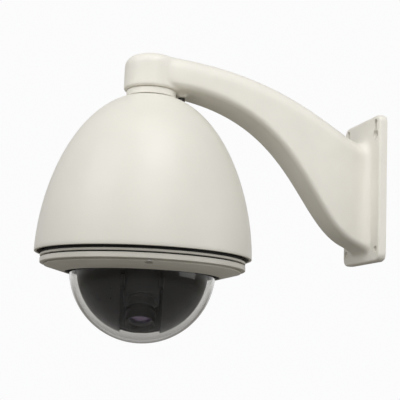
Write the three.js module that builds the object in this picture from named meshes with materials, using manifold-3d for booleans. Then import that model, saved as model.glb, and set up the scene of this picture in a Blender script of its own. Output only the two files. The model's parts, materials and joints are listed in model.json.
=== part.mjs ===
// A pan-tilt-zoom dome camera that hangs from a cast gooseneck wall arm.
// Millimetres. The origin is the centre of the wall plate's back face: the wall is on the +Y side,
// the dome hangs out on the -Y side, and +Z is up.
import * as THREE from "three";
import { mergeVertices } from "three/addons/utils/BufferGeometryUtils.js";
import Module from "manifold-3d";

const wasm = await Module();
wasm.setup();

// ---------------------------------------------------------------- driving dimensions

const GAP = 0.3; // between pieces that touch
const WEB = 0.01; // a joined shape reaches this far into its neighbour
const THROUGH = 1; // a cutting tool runs this far past the face that it cuts through

// Sides of the round pieces, from the widest to the smallest
const SHELL_SIDES = 44;
const RING_SIDES = 32;
const PIPE_SIDES = 28;
const SHAFT_SIDES = 20;
const SMALL_SIDES = 12;
const POST_SIDES = 6;

// Wall plate
const PLATE_WIDTH = 99;
const PLATE_HEIGHT = 179.5;
const PLATE_THICK = 10.5;
const PLATE_CORNER = 9;
const PLATE_EDGE = 1.5; // rounding of the front edges
const KEYHOLE_X = 38.5;
const KEYHOLE_SLOT_R = 3.3;
const KEYHOLE_SLOT_Z = 82; // where a hung bolt rests
const KEYHOLE_ENTRY_R = 6.3;
const KEYHOLE_ENTRY_Z = 66;
const PLATE_HOLE_R = 3.8;
const PLATE_HOLE_X = 41;
const PLATE_HOLE_Z = -75;
const WALL_GASKET_THICK = 2;
const WALL_GASKET_WIDTH = 6;
const WALL_GASKET_MARGIN = 3; // from the cable opening to the gasket
const PLATE_CLEARANCE = 1; // the bolt holes' cutters stand this far out of the plate

// Arm
const REACH = 284; // wall to dome axis
const ARM_WALL = 4;
const ARM_HEAD_BOTTOM = 96.5;
const ARM_HEAD_TOP = 140;
const ARM_HEAD_WIDTH = 63;
const ARM_FOOT_BOTTOM = -72.5;
const ARM_FOOT_TOP = 58.5;
const ARM_FOOT_WIDTH = 44;
const ARM_ROUND = 20; // corner radius of the arm's section
const ARM_FILLET = 7; // flare where the arm meets its plate
const HEAD_R = 33;
const HEAD_ROUND = 13;
const LUG_WIDTH = 15; // of the lug beside the collar, which holds the lock screw
const LUG_LENGTH = 12;
const LUG_DROP = 3.5;
const BELLY_LIFT = 3.5; // the arm's underside starts this far above the head's face
const LUG_GAP = 1.5; // from the collar to the lug
const HEAD_CHAMFER = 2;
// The crown and the belly leave the head level and fall to the plate. These are shares of the arm's span,
// and the steepness and the ease are shares of how far each of them falls.
const CROWN_LEVEL = 0.2815;
const CROWN_FALL = 0.636;
const CROWN_STEEPNESS = 1.03;
const BELLY_LEVEL = 0.746;
const BELLY_FALL = 0.307;
const BELLY_EASE = 0.0435;
// The rings that the arm's surface is drawn over
const ARM_RINGS = 11;
const ARM_CORNER_STEPS = 3;
const ARM_PLAIN = 0.88; // share of the curves before the flare
const FLARE_RINGS = 4;
const FLARE_START = 0.055; // share of the curves left at the first ring of the flare
const FLARE_RATIO = 0.57; // of each next ring's share to the one before

// Neck
const PIPE_R = 24.1;
const PIPE_BORE = 19.5;
const PIPE_IN_HEAD = 15; // how far the pipe reaches up into the arm's head
const PIPE_IN_HOUSING = 12; // how far it stands out below the housing's boss
const LOCKNUT_HEIGHT = 7;
const LOCKNUT_R = PIPE_R + 6.9; // to its six corners
const LOCKNUT_GAP = 0.8; // below the housing's ceiling
const COLLAR_R = PIPE_R + 5.4;
const COLLAR_HEIGHT = 8;
const COLLAR_CHAMFER = 1.5;
const NECK_GASKET_R = COLLAR_R - 1.1;
const NECK_GASKET_HEIGHT = 1.6;
const LOCK_SCREW_R = 2.5;
const LOCK_SCREW_HEAD_R = 4.3;
const LOCK_SCREW_HEAD = 4;
const LOCK_SCREW_LENGTH = 12;
const SCREW_CHAMFER = 0.5;
const SOCKET_SHARE = 0.5; // of a screw head's radius
const SOCKET_DEPTH_SHARE = 0.6; // of its height

// Sunshield and the pressure housing inside it, both bells of one family of curves
const SHIELD_R = 125;
const SHIELD_HEIGHT = 192;
const SHIELD_WALL = 3;
const SHIELD_SEAT_R = 34; // the flat land on the crown
const SHIELD_EDGE = 0.8; // rounding of the rim
const BELL_RISE = 1.8;
const BELL_ROUND = 2.17;
const BELL_STEPS = 7; // along a bell's profile
const HOUSING_GAP = 13; // from the shield's outer face to the housing's, at the rim
const HOUSING_HEADROOM = 16;
const HOUSING_WALL = 2.5;
const HOUSING_BOSS_R = 30;
const HOUSING_FLANGE_R = 116;
const HOUSING_FLANGE_THICK = 3;
const HOUSING_DROP = 2.3; // how far the flange's bottom is below the shield's rim
const SPACER_HEIGHT = 12;
const SPACER_ANGLE = THREE.MathUtils.degToRad(12);
const SPACERS = 3;
const SPACER_CLEARANCE = 1.6; // from the blocks to the shield
const SPACER_BAND = 1.5;
const SPACER_BAND_HEIGHT = 4;

// Rings under the housing
const RING_R = 118;
const RING_THICK = 2.7;
const RING_BORE = 100;
const SEAL_R = 115.4;
const SEAL_BORE = 105;
const SEAL_THICK = 1;
const TRIM_BAND = 6;
const TRIM_GROOVE = 1.8; // height of the shadow groove under the band
const TRIM_GROOVE_DEPTH = 3.2;
const TRIM_LIP_R = 88.9;
const TRIM_LIP_DROP = 6.9; // how far the sloping underside falls from the groove to the lip
const TRIM_SHELF = 1.6; // thickness of the ring under the bubble's flange
const TRIM_CHAMFER = 1;
const TRIM_LIP = 1.2; // width of the flat edge at the lip
const TRIM_SCREWS = 3;
const TRIM_SCREW_R = 2.5;
const TRIM_SCREW_HEAD_R = 4.2;
const TRIM_SCREW_CIRCLE = 107;
const TRIM_SCREW_HEAD = 3;
const TRIM_SCREW_SEAT = 2.5; // from the groove's foot up to the screw heads' seats
const TRIM_SCREW_FIRST = THREE.MathUtils.degToRad(-10);

// Bubble and its clamp
const BUBBLE_R = 84.2;
const BUBBLE_WALL = 2.5;
const DOME_STEPS = 8; // along the bubble's and the liner's profiles
const BUBBLE_FLANGE_R = 97;
const BUBBLE_FLANGE_THICK = 3;
const BUBBLE_POCKET = 1.5; // clearance round the flange
const BUBBLE_GASKET_THICK = 2;
const BUBBLE_GASKET_LIP = 4; // height of the lip between bubble and trim ring
const CLAMP_BORE = 81;
const CLAMP_THICK = 2.4;

// Chassis above the bubble
const CHASSIS_Z = 20.6; // underside of the chassis plate
const CHASSIS_THICK = 2.5;
const CHASSIS_R = 106;
const POST_R = 3.2;
const POST_CIRCLE = 103.6;
const POSTS = 3;
const BOARD_Z = 72;
const BOARD_R = 74;
const BOARD_THICK = 1.6;
const BOARD_POST_R = 3;
const BOARD_POST_CIRCLE = 66;
const BOARD_POST_ANGLES = [30, 150, 300].map(THREE.MathUtils.degToRad);
const TRANSFORMER_WIDTH = 54;
const TRANSFORMER_DEPTH = 46;
const TRANSFORMER_HEIGHT = 36;
const TRANSFORMER_OFFSET = 46;
const CORE_SHARE = 0.6; // of the transformer's depth
const WINDING_SHARE = 0.62; // of the transformer's width and height
const BOARD_BORE = 26; // clear of the slip ring
const CAPACITOR_R = 8;
const CAPACITOR_HEIGHT = 24;
const CAPACITORS_AT = [[-44, 14], [-44, -10]];
const TERMINAL_BLOCK = [36, 12, 14]; // width, depth and height
const TERMINAL_BLOCK_AT = [0, -52];
const RELAY = [16, 16, 4];
const RELAY_AT = [46, -22];
const HEATER_LENGTH = 46;
const HEATER_WIDTH = 26;
const HEATER_HEIGHT = 18;
const HEATER_BASE = 4;
const HEATER_FINS = 6;
const HEATER_FIN_THICK = 1.4;
const HEATER_OFFSET = 66;
const FAN_SIZE = 44;
const FAN_HEIGHT = 13;
const FAN_CORNER = 4;
const FAN_BASE = 1.6; // thickness of the hub plate and the spokes
const FAN_SPOKE = 3;
const FAN_SPOKE_ANGLES = [0, 60, 120].map(THREE.MathUtils.degToRad);
const FAN_BORE_R = 20.5;
const FAN_HUB_R = 9;
const FAN_BLADES = 7;
const FAN_BLADE_THICK = 1.2;
const FAN_BLADE_PITCH = THREE.MathUtils.degToRad(38);
const FAN_BLADE_ROOT = 2; // how deep a blade's root sits in the hub
const FAN_TIP_GAP = 1.6;
const FAN_TOP_GAP = 1.2;
const FAN_OFFSET = 66;

// Pan drive
const SHAFT_R = 15;
const SHAFT_BORE = 9;
const SHAFT_FOOT_R = 24;
const SHAFT_FOOT_THICK = 2.4;
const SHAFT_TOP = 46;
const BEARING_R = 26;
const BEARING_HEIGHT = 7;
const SLIP_RING_R = 22;
const SLIP_RING_HEIGHT = 20;
const TOOTH_PITCH = 6.2; // along the pitch circle
const TOOTH_DEPTH = 1.3;
const PULLEY_RIM = 0.4; // how far a pulley is wider than its belt, on each side
const PAN_PULLEY_TEETH = 36;
const PAN_PINION_TEETH = 9;
const PAN_BELT_WIDTH = 6;
const PAN_CENTRES = 62; // pan axis to pan motor
const PAN_MOTOR_SIZE = 35;
const PAN_MOTOR_HEIGHT = 32;
const PAN_MOTOR_CORNER = 4;
const MOTOR_SHAFT_R = 2.5;
const MOTOR_SHAFT_IN = 5; // how far the shaft reaches into its motor
const MOTOR_SHAFT_END = 1; // clear space past the shaft's end
const BELT_THICK = 1.4;

// What turns with the pan axis
const PAN_REST = THREE.MathUtils.degToRad(77); // from -Y towards +X
const TURNTABLE_R = 72;
const TURNTABLE_THICK = 3;
const LINER_R = BUBBLE_R - 8.7;
const LINER_WALL = 2;
const LINER_FLANGE = 9;
const LINER_FLAT = LINER_R - 3; // bubble centre to the liner's flat bottom
const SLOT_WIDTH = 46;
const SLOT_BEHIND = 20; // how far the slot runs past the axis at the bottom
const SLOT_TOP = 4; // solid band above the slot, below the turntable
const YOKE_HALF = 27; // inner faces of the yoke arms
const YOKE_THICK = 3;
const YOKE_ROUND = 12;
const YOKE_FOOT = 10;
const DRIVE_BOARD_LENGTH = 52;
const DRIVE_BOARD_HEIGHT = 34;
const DRIVE_BOARD_SHIFT = 4; // along the board, from the pan axis
const DRIVE_BOARD_GAP = 1; // below the turntable, and past the yoke's foot
// The board's parts: thickness, length and height, and the place of the middle along and up the board.
const DRIVE_BOARD_PARTS = [[3, 14, 14, -12, 2], [6, 20, 6, 8, 11], [2, 8, 8, 10, -6]];

// Tilt drive
const TILT_REST = THREE.MathUtils.degToRad(60); // below the horizon
const TILT_DROP = 14.5; // tilt axis below the bubble's centre
const TRUNNION_R = 4;
const TRUNNION_FLANGE_R = 8;
const TRUNNION_GAP = 3; // from the flange to the yoke arm, less the gap at the block
const TRUNNION_END = 1; // how far the left trunnion stands out of its bearing
const TILT_BEARING_R = 7.5;
const TILT_PULLEY_TEETH = 15;
const TILT_PINION_TEETH = 5;
const TILT_BELT_WIDTH = 4.4;
const TILT_MOTOR_BACK = 42; // motor behind the tilt axis
const TILT_MOTOR_RISE = 8; // motor above the tilt axis
const TILT_MOTOR_R = 12.5;
const TILT_MOTOR_LENGTH = 16;
const TILT_PULLEY_GAP = 1.5; // from the yoke arm to the pulley
const YOKE_EDGE = 1; // of the yoke arm below the motor
const YOKE_CORNER = 4; // from the motor's axis down to the yoke arm's lower corner
const SHAFT_HOLE_MARGIN = 2; // round a motor's shaft

// Camera block
const BLOCK_WIDTH = 40;
const BLOCK_HEIGHT = 34;
const BLOCK_FRONT = 24; // ahead of the tilt axis
const BLOCK_BACK = 17.5;
const BLOCK_WALL = 2;
const BLOCK_ROUND = 4;
const COVER_THICK = 2;
const BARREL_R = 14.6;
const BARREL_BORE = 12.8;
const BARREL_FRONT = 50;
const BARREL_BACK = 7;
const BARREL_FLANGE = 3;
const HOOD_R = 17.2;
const HOOD_FRONT = 56;
const HOOD_LENGTH = 17;
const HOOD_LIP = 1;
const FRONT_LENS_THICK = 5;
const FRONT_LENS_DOME = 2;
const ZOOM_CELL_FRONT = 30;
const ZOOM_CELL_LENGTH = 6;
const ZOOM_CELL_DOME = 1.5;
const FOCUS_CELL_FRONT = 18;
const FOCUS_CELL_LENGTH = 4;
const FOCUS_CELL_DOME = 1;
const FILTER_SIZE = 16;
const FILTER_THICK = 1;
const FILTER_PLACE = 4.6; // ahead of the tilt axis
const FILTER_START = -6; // sideways place of the filter at rest
const SENSOR_MARGIN = 1; // from the sensor board's edges to the block's walls
const SENSOR_CHIP = [12, 2, 10]; // width, depth and height
const SENSOR_PLUG = [20, 4, 5];
const SENSOR_PLUG_DROP = 8;

// ---------------------------------------------------------------- worked-out heights, in the drop's frame
// The drop's frame has its origin on the dome axis, level with the sunshield's rim.

const bellZ = (radius, height, r) => height * (1 - (r / radius) ** BELL_ROUND) ** (1 / BELL_RISE);
const bellR = (radius, height, z) => radius * (1 - (z / height) ** BELL_RISE) ** (1 / BELL_ROUND);

const CROWN_Z = bellZ(SHIELD_R, SHIELD_HEIGHT, SHIELD_SEAT_R);
const NECK_GASKET_Z = CROWN_Z + GAP;
const COLLAR_Z = NECK_GASKET_Z + NECK_GASKET_HEIGHT + GAP;
const HEAD_FACE_Z = COLLAR_Z + COLLAR_HEIGHT + GAP;
const RIM_Z = ARM_HEAD_BOTTOM - HEAD_FACE_Z; // in the part's frame

const HOUSING_R = SHIELD_R - HOUSING_GAP;
const HOUSING_HEIGHT = SHIELD_HEIGHT - HOUSING_HEADROOM;
const BOSS_TOP_Z = CROWN_Z - SHIELD_WALL - GAP;
const RING_TOP_Z = -HOUSING_DROP - GAP;
const SEAL_TOP_Z = RING_TOP_Z - RING_THICK - GAP;
const TRIM_TOP_Z = SEAL_TOP_Z - SEAL_THICK - GAP;
const GROOVE_TOP_Z = TRIM_TOP_Z - TRIM_BAND;
const SLOPE_TOP_Z = GROOVE_TOP_Z - TRIM_GROOVE;
const TRIM_LIP_Z = SLOPE_TOP_Z - TRIM_LIP_DROP;

const BUBBLE_POCKET_R = BUBBLE_FLANGE_R + BUBBLE_POCKET;
const SLOPE_R = RING_R - TRIM_GROOVE_DEPTH;
const SLOPE = TRIM_LIP_DROP / (SLOPE_R - TRIM_LIP_R);
const SHELF_Z = SLOPE_TOP_Z - SLOPE * (SLOPE_R - BUBBLE_POCKET_R) + TRIM_SHELF;
const BUBBLE_GASKET_Z = SHELF_Z + GAP;
const BUBBLE_FLANGE_Z = BUBBLE_GASKET_Z + BUBBLE_GASKET_THICK + GAP;
const BUBBLE_Z = BUBBLE_FLANGE_Z; // the bubble's centre, level with the flange's underside
const TRIM_SCREW_SEAT_Z = SLOPE_TOP_Z + TRIM_SCREW_SEAT;
const CLAMP_Z = BUBBLE_FLANGE_Z + BUBBLE_FLANGE_THICK + GAP;

const TURNTABLE_TOP_Z = 1.5;
const TURNTABLE_Z = TURNTABLE_TOP_Z - TURNTABLE_THICK;
const SHAFT_FOOT_Z = TURNTABLE_TOP_Z + GAP;
const PAN_PULLEY_Z = SHAFT_FOOT_Z + SHAFT_FOOT_THICK + GAP;
const CHASSIS_TOP_Z = CHASSIS_Z + CHASSIS_THICK + GAP;

// ---------------------------------------------------------------- shape helpers

// A closed geometry as a manifold-3d solid.
function toSolid(geometry) {
  const bare = geometry.clone();
  bare.deleteAttribute("normal");
  bare.deleteAttribute("uv");
  const merged = mergeVertices(bare, 1e-4);
  return new wasm.Manifold(
    new wasm.Mesh({
      numProp: 3,
      vertProperties: merged.attributes.position.array,
      triVerts: new Uint32Array(merged.index.array),
    }),
  );
}

function toGeometry(solid) {
  const mesh = solid.getMesh();
  return new THREE.BufferGeometry()
    .setAttribute("position", new THREE.BufferAttribute(mesh.vertProperties, 3))
    .setIndex(new THREE.BufferAttribute(mesh.triVerts, 1));
}

const join = (base, ...others) =>
  toGeometry(others.reduce((sum, other) => sum.add(toSolid(other)), toSolid(base)));
const cut = (base, ...tools) =>
  toGeometry(tools.reduce((rest, tool) => rest.subtract(toSolid(tool)), toSolid(base)));

const box = (width, depth, height) => new THREE.BoxGeometry(width, depth, height);

// A cylinder along Z from z = 0 up.
const rod = (r, height, sides = SHAFT_SIDES) =>
  new THREE.CylinderGeometry(r, r, height, sides).rotateX(Math.PI / 2).translate(0, 0, height / 2);

// A solid of revolution about Z. The profile lists (r, z) points, counter-clockwise with r to the right.
function turned(profile, sides = SHAFT_SIDES) {
  const points = profile.map(([r, z]) => new THREE.Vector2(r, z));
  const closed = profile[0][0] > 0 || profile.at(-1)[0] > 0 ? [...points, points[0].clone()] : points;
  return new THREE.LatheGeometry(closed, sides).rotateX(Math.PI / 2);
}

const tube = (r, bore, height, sides = SHAFT_SIDES) =>
  turned([[bore, 0], [r, 0], [r, height], [bore, height]], sides);

// Points of a circle's arc in the (r, z) plane.
const arc = (r0, z0, radius, from, to, steps) =>
  Array.from({ length: steps + 1 }, (_, i) => {
    const angle = from + ((to - from) * i) / steps;
    return [r0 + radius * Math.cos(angle), z0 + radius * Math.sin(angle)];
  });

// The bell's profile from z = low up to z = high, in equal steps of its own angle.
function bellProfile(radius, height, low, high, steps) {
  const first = Math.asin(low / height);
  const last = Math.asin(high / height);
  return Array.from({ length: steps + 1 }, (_, i) => {
    const z = height * Math.sin(first + ((last - first) * i) / steps);
    return [bellR(radius, height, z), z];
  });
}

const extrude = (shape, depth, options = {}) =>
  new THREE.ExtrudeGeometry(shape, { depth, bevelEnabled: false, curveSegments: 5, ...options });

function roundedRect(width, height, radius) {
  const x = width / 2 - radius;
  const y = height / 2 - radius;
  const shape = new THREE.Shape();
  shape.absarc(x, -y, radius, -Math.PI / 2, 0);
  shape.absarc(x, y, radius, 0, Math.PI / 2);
  shape.absarc(-x, y, radius, Math.PI / 2, Math.PI);
  shape.absarc(-x, -y, radius, Math.PI, 1.5 * Math.PI);
  shape.closePath();
  return shape;
}

// A round hole with flats that touch the circle, so that nothing of radius r is ever cut.
function circleHole(x, y, r, sides = SHAFT_SIDES) {
  const corner = r / Math.cos(Math.PI / sides);
  const points = Array.from({ length: sides }, (_, i) => {
    const angle = (-2 * Math.PI * i) / sides;
    return new THREE.Vector2(x + corner * Math.cos(angle), y + corner * Math.sin(angle));
  });
  return new THREE.Path(points);
}

// Turns a shape drawn in (X, Z) and extruded along +Z so that it stands in the XZ plane, extruded along -Y.
const standUp = (geometry) => geometry.rotateX(Math.PI / 2);

// A closed skin over rings of points with the same count, with a flat fan on each end. The rings turn
// counter-clockwise as seen from the first ring's side.
function skin(rings) {
  const count = rings[0].length;
  const positions = rings.flat().flatMap((p) => [p.x, p.y, p.z]);
  const index = [];
  for (let i = 0; i + 1 < rings.length; i++)
    for (let j = 0; j < count; j++) {
      const a = i * count + j;
      const b = i * count + ((j + 1) % count);
      index.push(a, a + count, b, b, a + count, b + count);
    }
  const last = (rings.length - 1) * count;
  for (let j = 1; j + 1 < count; j++) {
    index.push(0, j, j + 1);
    index.push(last, last + j + 1, last + j);
  }
  return new THREE.BufferGeometry()
    .setAttribute("position", new THREE.Float32BufferAttribute(positions, 3))
    .setIndex(index);
}

// The corners of one tooth: whether they are on the tip, and their place as shares of the pitch.
const TOOTH_CORNERS = [[false, 0], [false, 0.4], [true, 0.55], [true, 0.85]];

// A toothed pulley along Z.
function toothed(teeth, height, bore) {
  const tip = (teeth * TOOTH_PITCH) / (2 * Math.PI);
  const root = tip - TOOTH_DEPTH;
  const shape = new THREE.Shape();
  for (let i = 0; i < teeth; i++)
    TOOTH_CORNERS.forEach(([rises, share], corner) => {
      const r = rises ? tip : root;
      const angle = (2 * Math.PI * (i + share)) / teeth;
      const at = [r * Math.cos(angle), r * Math.sin(angle)];
      if (i + corner === 0) shape.moveTo(...at);
      else shape.lineTo(...at);
    });
  shape.closePath();
  if (bore) shape.holes.push(circleHole(0, 0, bore));
  return extrude(shape, height);
}

const tipRadius = (teeth) => (teeth * TOOTH_PITCH) / (2 * Math.PI);

// A belt round two pulleys: the first at the origin, the second at +X. It clears the tooth tips by a gap.
function belt(largeR, smallR, centres, width) {
  const lean = Math.acos((largeR - smallR) / centres);
  const loop = (outline, grow) => {
    outline.absarc(0, 0, largeR + grow, lean, 2 * Math.PI - lean, false);
    outline.absarc(centres, 0, smallR + grow, -lean, lean, false);
    outline.closePath();
    return outline;
  };
  const shape = loop(new THREE.Shape(), GAP + BELT_THICK);
  shape.holes.push(loop(new THREE.Path(), GAP));
  return extrude(shape, width, { curveSegments: SHAFT_SIDES / 2 });
}

// ---------------------------------------------------------------- materials

const finish = (color, roughness, metalness = 0) => () =>
  new THREE.MeshStandardMaterial({ color, roughness, metalness });

const ivoryPaint = finish(0xdedbd0, 0.42);
const ivoryPlastic = finish(0xd8d6cc, 0.38);
const rubber = finish(0x1d1d1c, 0.85);
const blackPlastic = finish(0x16140f, 0.35);
const darkPlastic = finish(0x262626, 0.55);
const aluminium = finish(0xb5b7b8, 0.35, 0.9);
const steel = finish(0x8f9294, 0.3, 1);
const zinc = finish(0xa9a69a, 0.4, 0.9);
const boardGreen = finish(0x1f5a36, 0.5);
const copper = finish(0xa86b3c, 0.35, 0.8);
const whiteNylon = finish(0xe8e6df, 0.5);
const glass = () =>
  new THREE.MeshStandardMaterial({ color: 0x1c2230, roughness: 0.05, transparent: true, opacity: 0.6 });
const clearAcrylic = () =>
  new THREE.MeshStandardMaterial({ color: 0xd9dcd8, roughness: 0.04, transparent: true, opacity: 0.3 });

// ---------------------------------------------------------------- the object's frames

const camera = new THREE.Group();

const drop = new THREE.Group();
drop.position.set(0, -REACH, RIM_Z);
camera.add(drop);

const pan = new THREE.Group();
pan.rotation.z = PAN_REST;
drop.add(pan);

// The tilt frame looks along -Y, with its origin on the tilt axis.
const tilt = new THREE.Group();
tilt.position.z = BUBBLE_Z - TILT_DROP;
tilt.rotation.x = TILT_REST;
pan.add(tilt);

function part(name, parent, material, geometry, place = [0, 0, 0], turn = 0) {
  const mesh = new THREE.Mesh(geometry, material());
  mesh.name = name;
  mesh.position.set(...place);
  mesh.rotation.z = turn;
  parent.add(mesh);
  return mesh;
}

const around = (radius, angle, z) => [radius * Math.cos(angle), radius * Math.sin(angle), z];

// ---------------------------------------------------------------- wall arm

const FOOT_Y = -PLATE_THICK;

// The curves that the arm's crown and its belly follow in the YZ plane, from the head to the plate.
function armCurve(headZ, footZ, level, fall, rise) {
  const span = REACH - PLATE_THICK;
  const points = [
    [-REACH, headZ],
    [-REACH + level * span, headZ],
    [FOOT_Y - fall * span, footZ + rise * (headZ - footZ)],
    [FOOT_Y, footZ],
  ];
  return new THREE.CubicBezierCurve(...points.map(([y, z]) => new THREE.Vector2(y, z)));
}

const BELLY_Z = ARM_HEAD_BOTTOM + BELLY_LIFT;
const CROWN_CURVE = armCurve(ARM_HEAD_TOP, ARM_FOOT_TOP, CROWN_LEVEL, CROWN_FALL, CROWN_STEEPNESS);
const BELLY_CURVE = armCurve(BELLY_Z, ARM_FOOT_BOTTOM, BELLY_LEVEL, BELLY_FALL, BELLY_EASE);

// A curve's point at t, moved square to the curve to its upper side.
function besideCurve(spine, t, distance) {
  const tangent = spine.getTangent(t);
  return spine.getPoint(t).addScaledVector(new THREE.Vector2(-tangent.y, tangent.x), distance);
}

// One ring of the arm at t along its curves, set in by wall on every side and grown by flare.
function armRing(t, wall, flare) {
  const crown = besideCurve(CROWN_CURVE, t, -wall);
  const belly = besideCurve(BELLY_CURVE, t, wall);
  const up = crown.clone().sub(belly).normalize();
  const middle = crown.clone().add(belly).multiplyScalar(0.5);
  const halfHeight = crown.distanceTo(belly) / 2 + flare;
  const halfWidth = THREE.MathUtils.lerp(ARM_HEAD_WIDTH, ARM_FOOT_WIDTH, t) / 2 - wall + flare;
  const roundest = Math.min(halfHeight, halfWidth) - GAP;
  const radius = Math.min(ARM_ROUND - wall + flare / 2, roundest);
  const ring = [];
  for (const [sx, sz, start] of [[1, 1, 0], [-1, 1, 90], [-1, -1, 180], [1, -1, 270]])
    for (let k = 0; k <= ARM_CORNER_STEPS; k++) {
      const angle = THREE.MathUtils.degToRad(start + (90 * k) / ARM_CORNER_STEPS);
      const x = sx * (halfWidth - radius) + radius * Math.cos(angle);
      const rise = sz * (halfHeight - radius) + radius * Math.sin(angle);
      ring.push(new THREE.Vector3(x, middle.x + up.x * rise, middle.y + up.y * rise));
    }
  return ring;
}

// The flare grows as a quarter circle over the last stretch of the arm before the plate.
function flareAt(t) {
  const left = (FOOT_Y - CROWN_CURVE.getPoint(t).x) / ARM_FILLET;
  return left >= 1 ? 0 : ARM_FILLET * (1 - Math.sqrt(1 - (1 - left) ** 2));
}

// The arm's rings are evenly spread along its curves, and closer together where it flares into the plate.
const ARM_STEPS = Array.from({ length: ARM_RINGS }, (_, i) => (ARM_PLAIN * i) / (ARM_RINGS - 1));
const FLARE_STEPS = Array.from({ length: FLARE_RINGS }, (_, i) => 1 - FLARE_START * FLARE_RATIO ** i);

function armBody() {
  const rings = [...ARM_STEPS, ...FLARE_STEPS].map((t) => armRing(t, 0, flareAt(t)));
  const foot = armRing(1, 0, ARM_FILLET);
  return skin([...rings, foot.map((p) => p.clone().setY(FOOT_Y + THROUGH))]);
}

// The channel starts over the pipe and opens through the back of the plate.
function armChannel() {
  const rings = ARM_STEPS.map((t) => armRing(t, ARM_WALL, 0));
  const mouth = armRing(1, ARM_WALL, 0);
  return skin([...rings, mouth, mouth.map((p) => p.clone().setY(THROUGH))]);
}

const HEAD_HEIGHT = ARM_HEAD_TOP - ARM_HEAD_BOTTOM;

function armHead() {
  return turned(
    [
      [0, 0],
      [HEAD_R - HEAD_CHAMFER, 0],
      [HEAD_R, HEAD_CHAMFER],
      ...arc(HEAD_R - HEAD_ROUND, HEAD_HEIGHT - HEAD_ROUND, HEAD_ROUND, 0, Math.PI / 2, 4),
      [0, HEAD_HEIGHT],
    ],
    RING_SIDES,
  ).translate(0, -REACH, ARM_HEAD_BOTTOM);
}

const LUG_Y = -REACH + COLLAR_R + LUG_GAP + LUG_LENGTH / 2;
const LUG_FACE_Z = ARM_HEAD_BOTTOM - LUG_DROP;

function wallPlate() {
  const inset = 2 * PLATE_EDGE;
  const face = roundedRect(PLATE_WIDTH - inset, PLATE_HEIGHT - inset, PLATE_CORNER - PLATE_EDGE);
  const depth = PLATE_THICK - PLATE_EDGE;
  const slab = standUp(extrude(roundedRect(PLATE_WIDTH, PLATE_HEIGHT, PLATE_CORNER), depth));
  const rounding = {
    bevelEnabled: true,
    bevelSize: PLATE_EDGE,
    bevelThickness: PLATE_EDGE - WEB,
    bevelSegments: 2,
  };
  return join(slab, standUp(extrude(face, WEB, rounding)).translate(0, -depth - WEB, 0));
}

// A cutter for a round hole through the plate at (x, z).
function plateHole(r, x, z) {
  return rod(r, PLATE_THICK + 2 * PLATE_CLEARANCE).rotateX(Math.PI / 2).translate(x, PLATE_CLEARANCE, z);
}

function keyhole(x) {
  const slot = new THREE.Shape();
  slot.absarc(x, KEYHOLE_SLOT_Z, KEYHOLE_SLOT_R, 0, Math.PI);
  slot.lineTo(x - KEYHOLE_SLOT_R, KEYHOLE_ENTRY_Z);
  slot.lineTo(x + KEYHOLE_SLOT_R, KEYHOLE_ENTRY_Z);
  slot.closePath();
  return join(
    standUp(extrude(slot, PLATE_THICK + 2 * PLATE_CLEARANCE)).translate(0, PLATE_CLEARANCE, 0),
    plateHole(KEYHOLE_ENTRY_R, x, KEYHOLE_ENTRY_Z),
  );
}

// The gasket's ring round the cable opening, in (X, Z). The groove in the plate is a gap larger on each side.
function gasketShape(grow) {
  const width = ARM_FOOT_WIDTH - 2 * ARM_WALL + 2 * WALL_GASKET_MARGIN;
  const height = ARM_FOOT_TOP - ARM_FOOT_BOTTOM - 2 * ARM_WALL + 2 * WALL_GASKET_MARGIN;
  const radius = ARM_ROUND - ARM_WALL + WALL_GASKET_MARGIN;
  const outer = WALL_GASKET_WIDTH + grow;
  const shape = roundedRect(width + 2 * outer, height + 2 * outer, radius + outer);
  shape.holes.push(roundedRect(width - 2 * grow, height - 2 * grow, radius - grow));
  return shape;
}

const GASKET_CENTRE_Z = (ARM_FOOT_TOP + ARM_FOOT_BOTTOM) / 2;

function wallArm() {
  const lugTop = ARM_HEAD_BOTTOM + BELLY_LIFT + ARM_WALL / 2;
  const lug = box(LUG_WIDTH, LUG_LENGTH, lugTop - LUG_FACE_Z).translate(0, LUG_Y, (lugTop + LUG_FACE_Z) / 2);
  const groove = standUp(extrude(gasketShape(GAP), WALL_GASKET_THICK + THROUGH, { curveSegments: 3 }))
    .translate(0, THROUGH, GASKET_CENTRE_Z);
  // Half a side round, so that none of its corners lies in the channel's end face.
  const pipeBore = rod(PIPE_R + GAP, HEAD_HEIGHT - ARM_WALL + THROUGH, PIPE_SIDES)
    .rotateZ(Math.PI / PIPE_SIDES)
    .translate(0, -REACH, ARM_HEAD_BOTTOM - THROUGH);
  const screwBore = rod(LOCK_SCREW_R + GAP, LOCK_SCREW_LENGTH + 2 * THROUGH, SMALL_SIDES)
    .translate(0, LUG_Y, LUG_FACE_Z - THROUGH);
  const cast = join(armBody(), armHead(), wallPlate(), lug);
  return cut(
    cast,
    armChannel(),
    groove,
    pipeBore,
    screwBore,
    ...[-1, 1].map((side) => keyhole(side * KEYHOLE_X)),
    ...[-1, 1].map((side) => plateHole(PLATE_HOLE_R, side * PLATE_HOLE_X, PLATE_HOLE_Z)),
  );
}

// A socket head screw along +Z: the head's top is at z = 0 and the shank goes down.
function socketScrew(headR, headHeight, r, length) {
  const depth = SOCKET_DEPTH_SHARE * headHeight;
  const socket = rod(SOCKET_SHARE * headR, depth + THROUGH, POST_SIDES).translate(0, 0, -depth);
  const top = headR - SCREW_CHAMFER;
  const head = turned(
    [[0, -headHeight], [headR, -headHeight], [headR, -SCREW_CHAMFER], [top, 0], [0, 0]],
    SMALL_SIDES,
  );
  const shank = rod(r, length, SMALL_SIDES).translate(0, 0, -headHeight - length + WEB);
  return cut(join(head, shank), socket);
}

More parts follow.
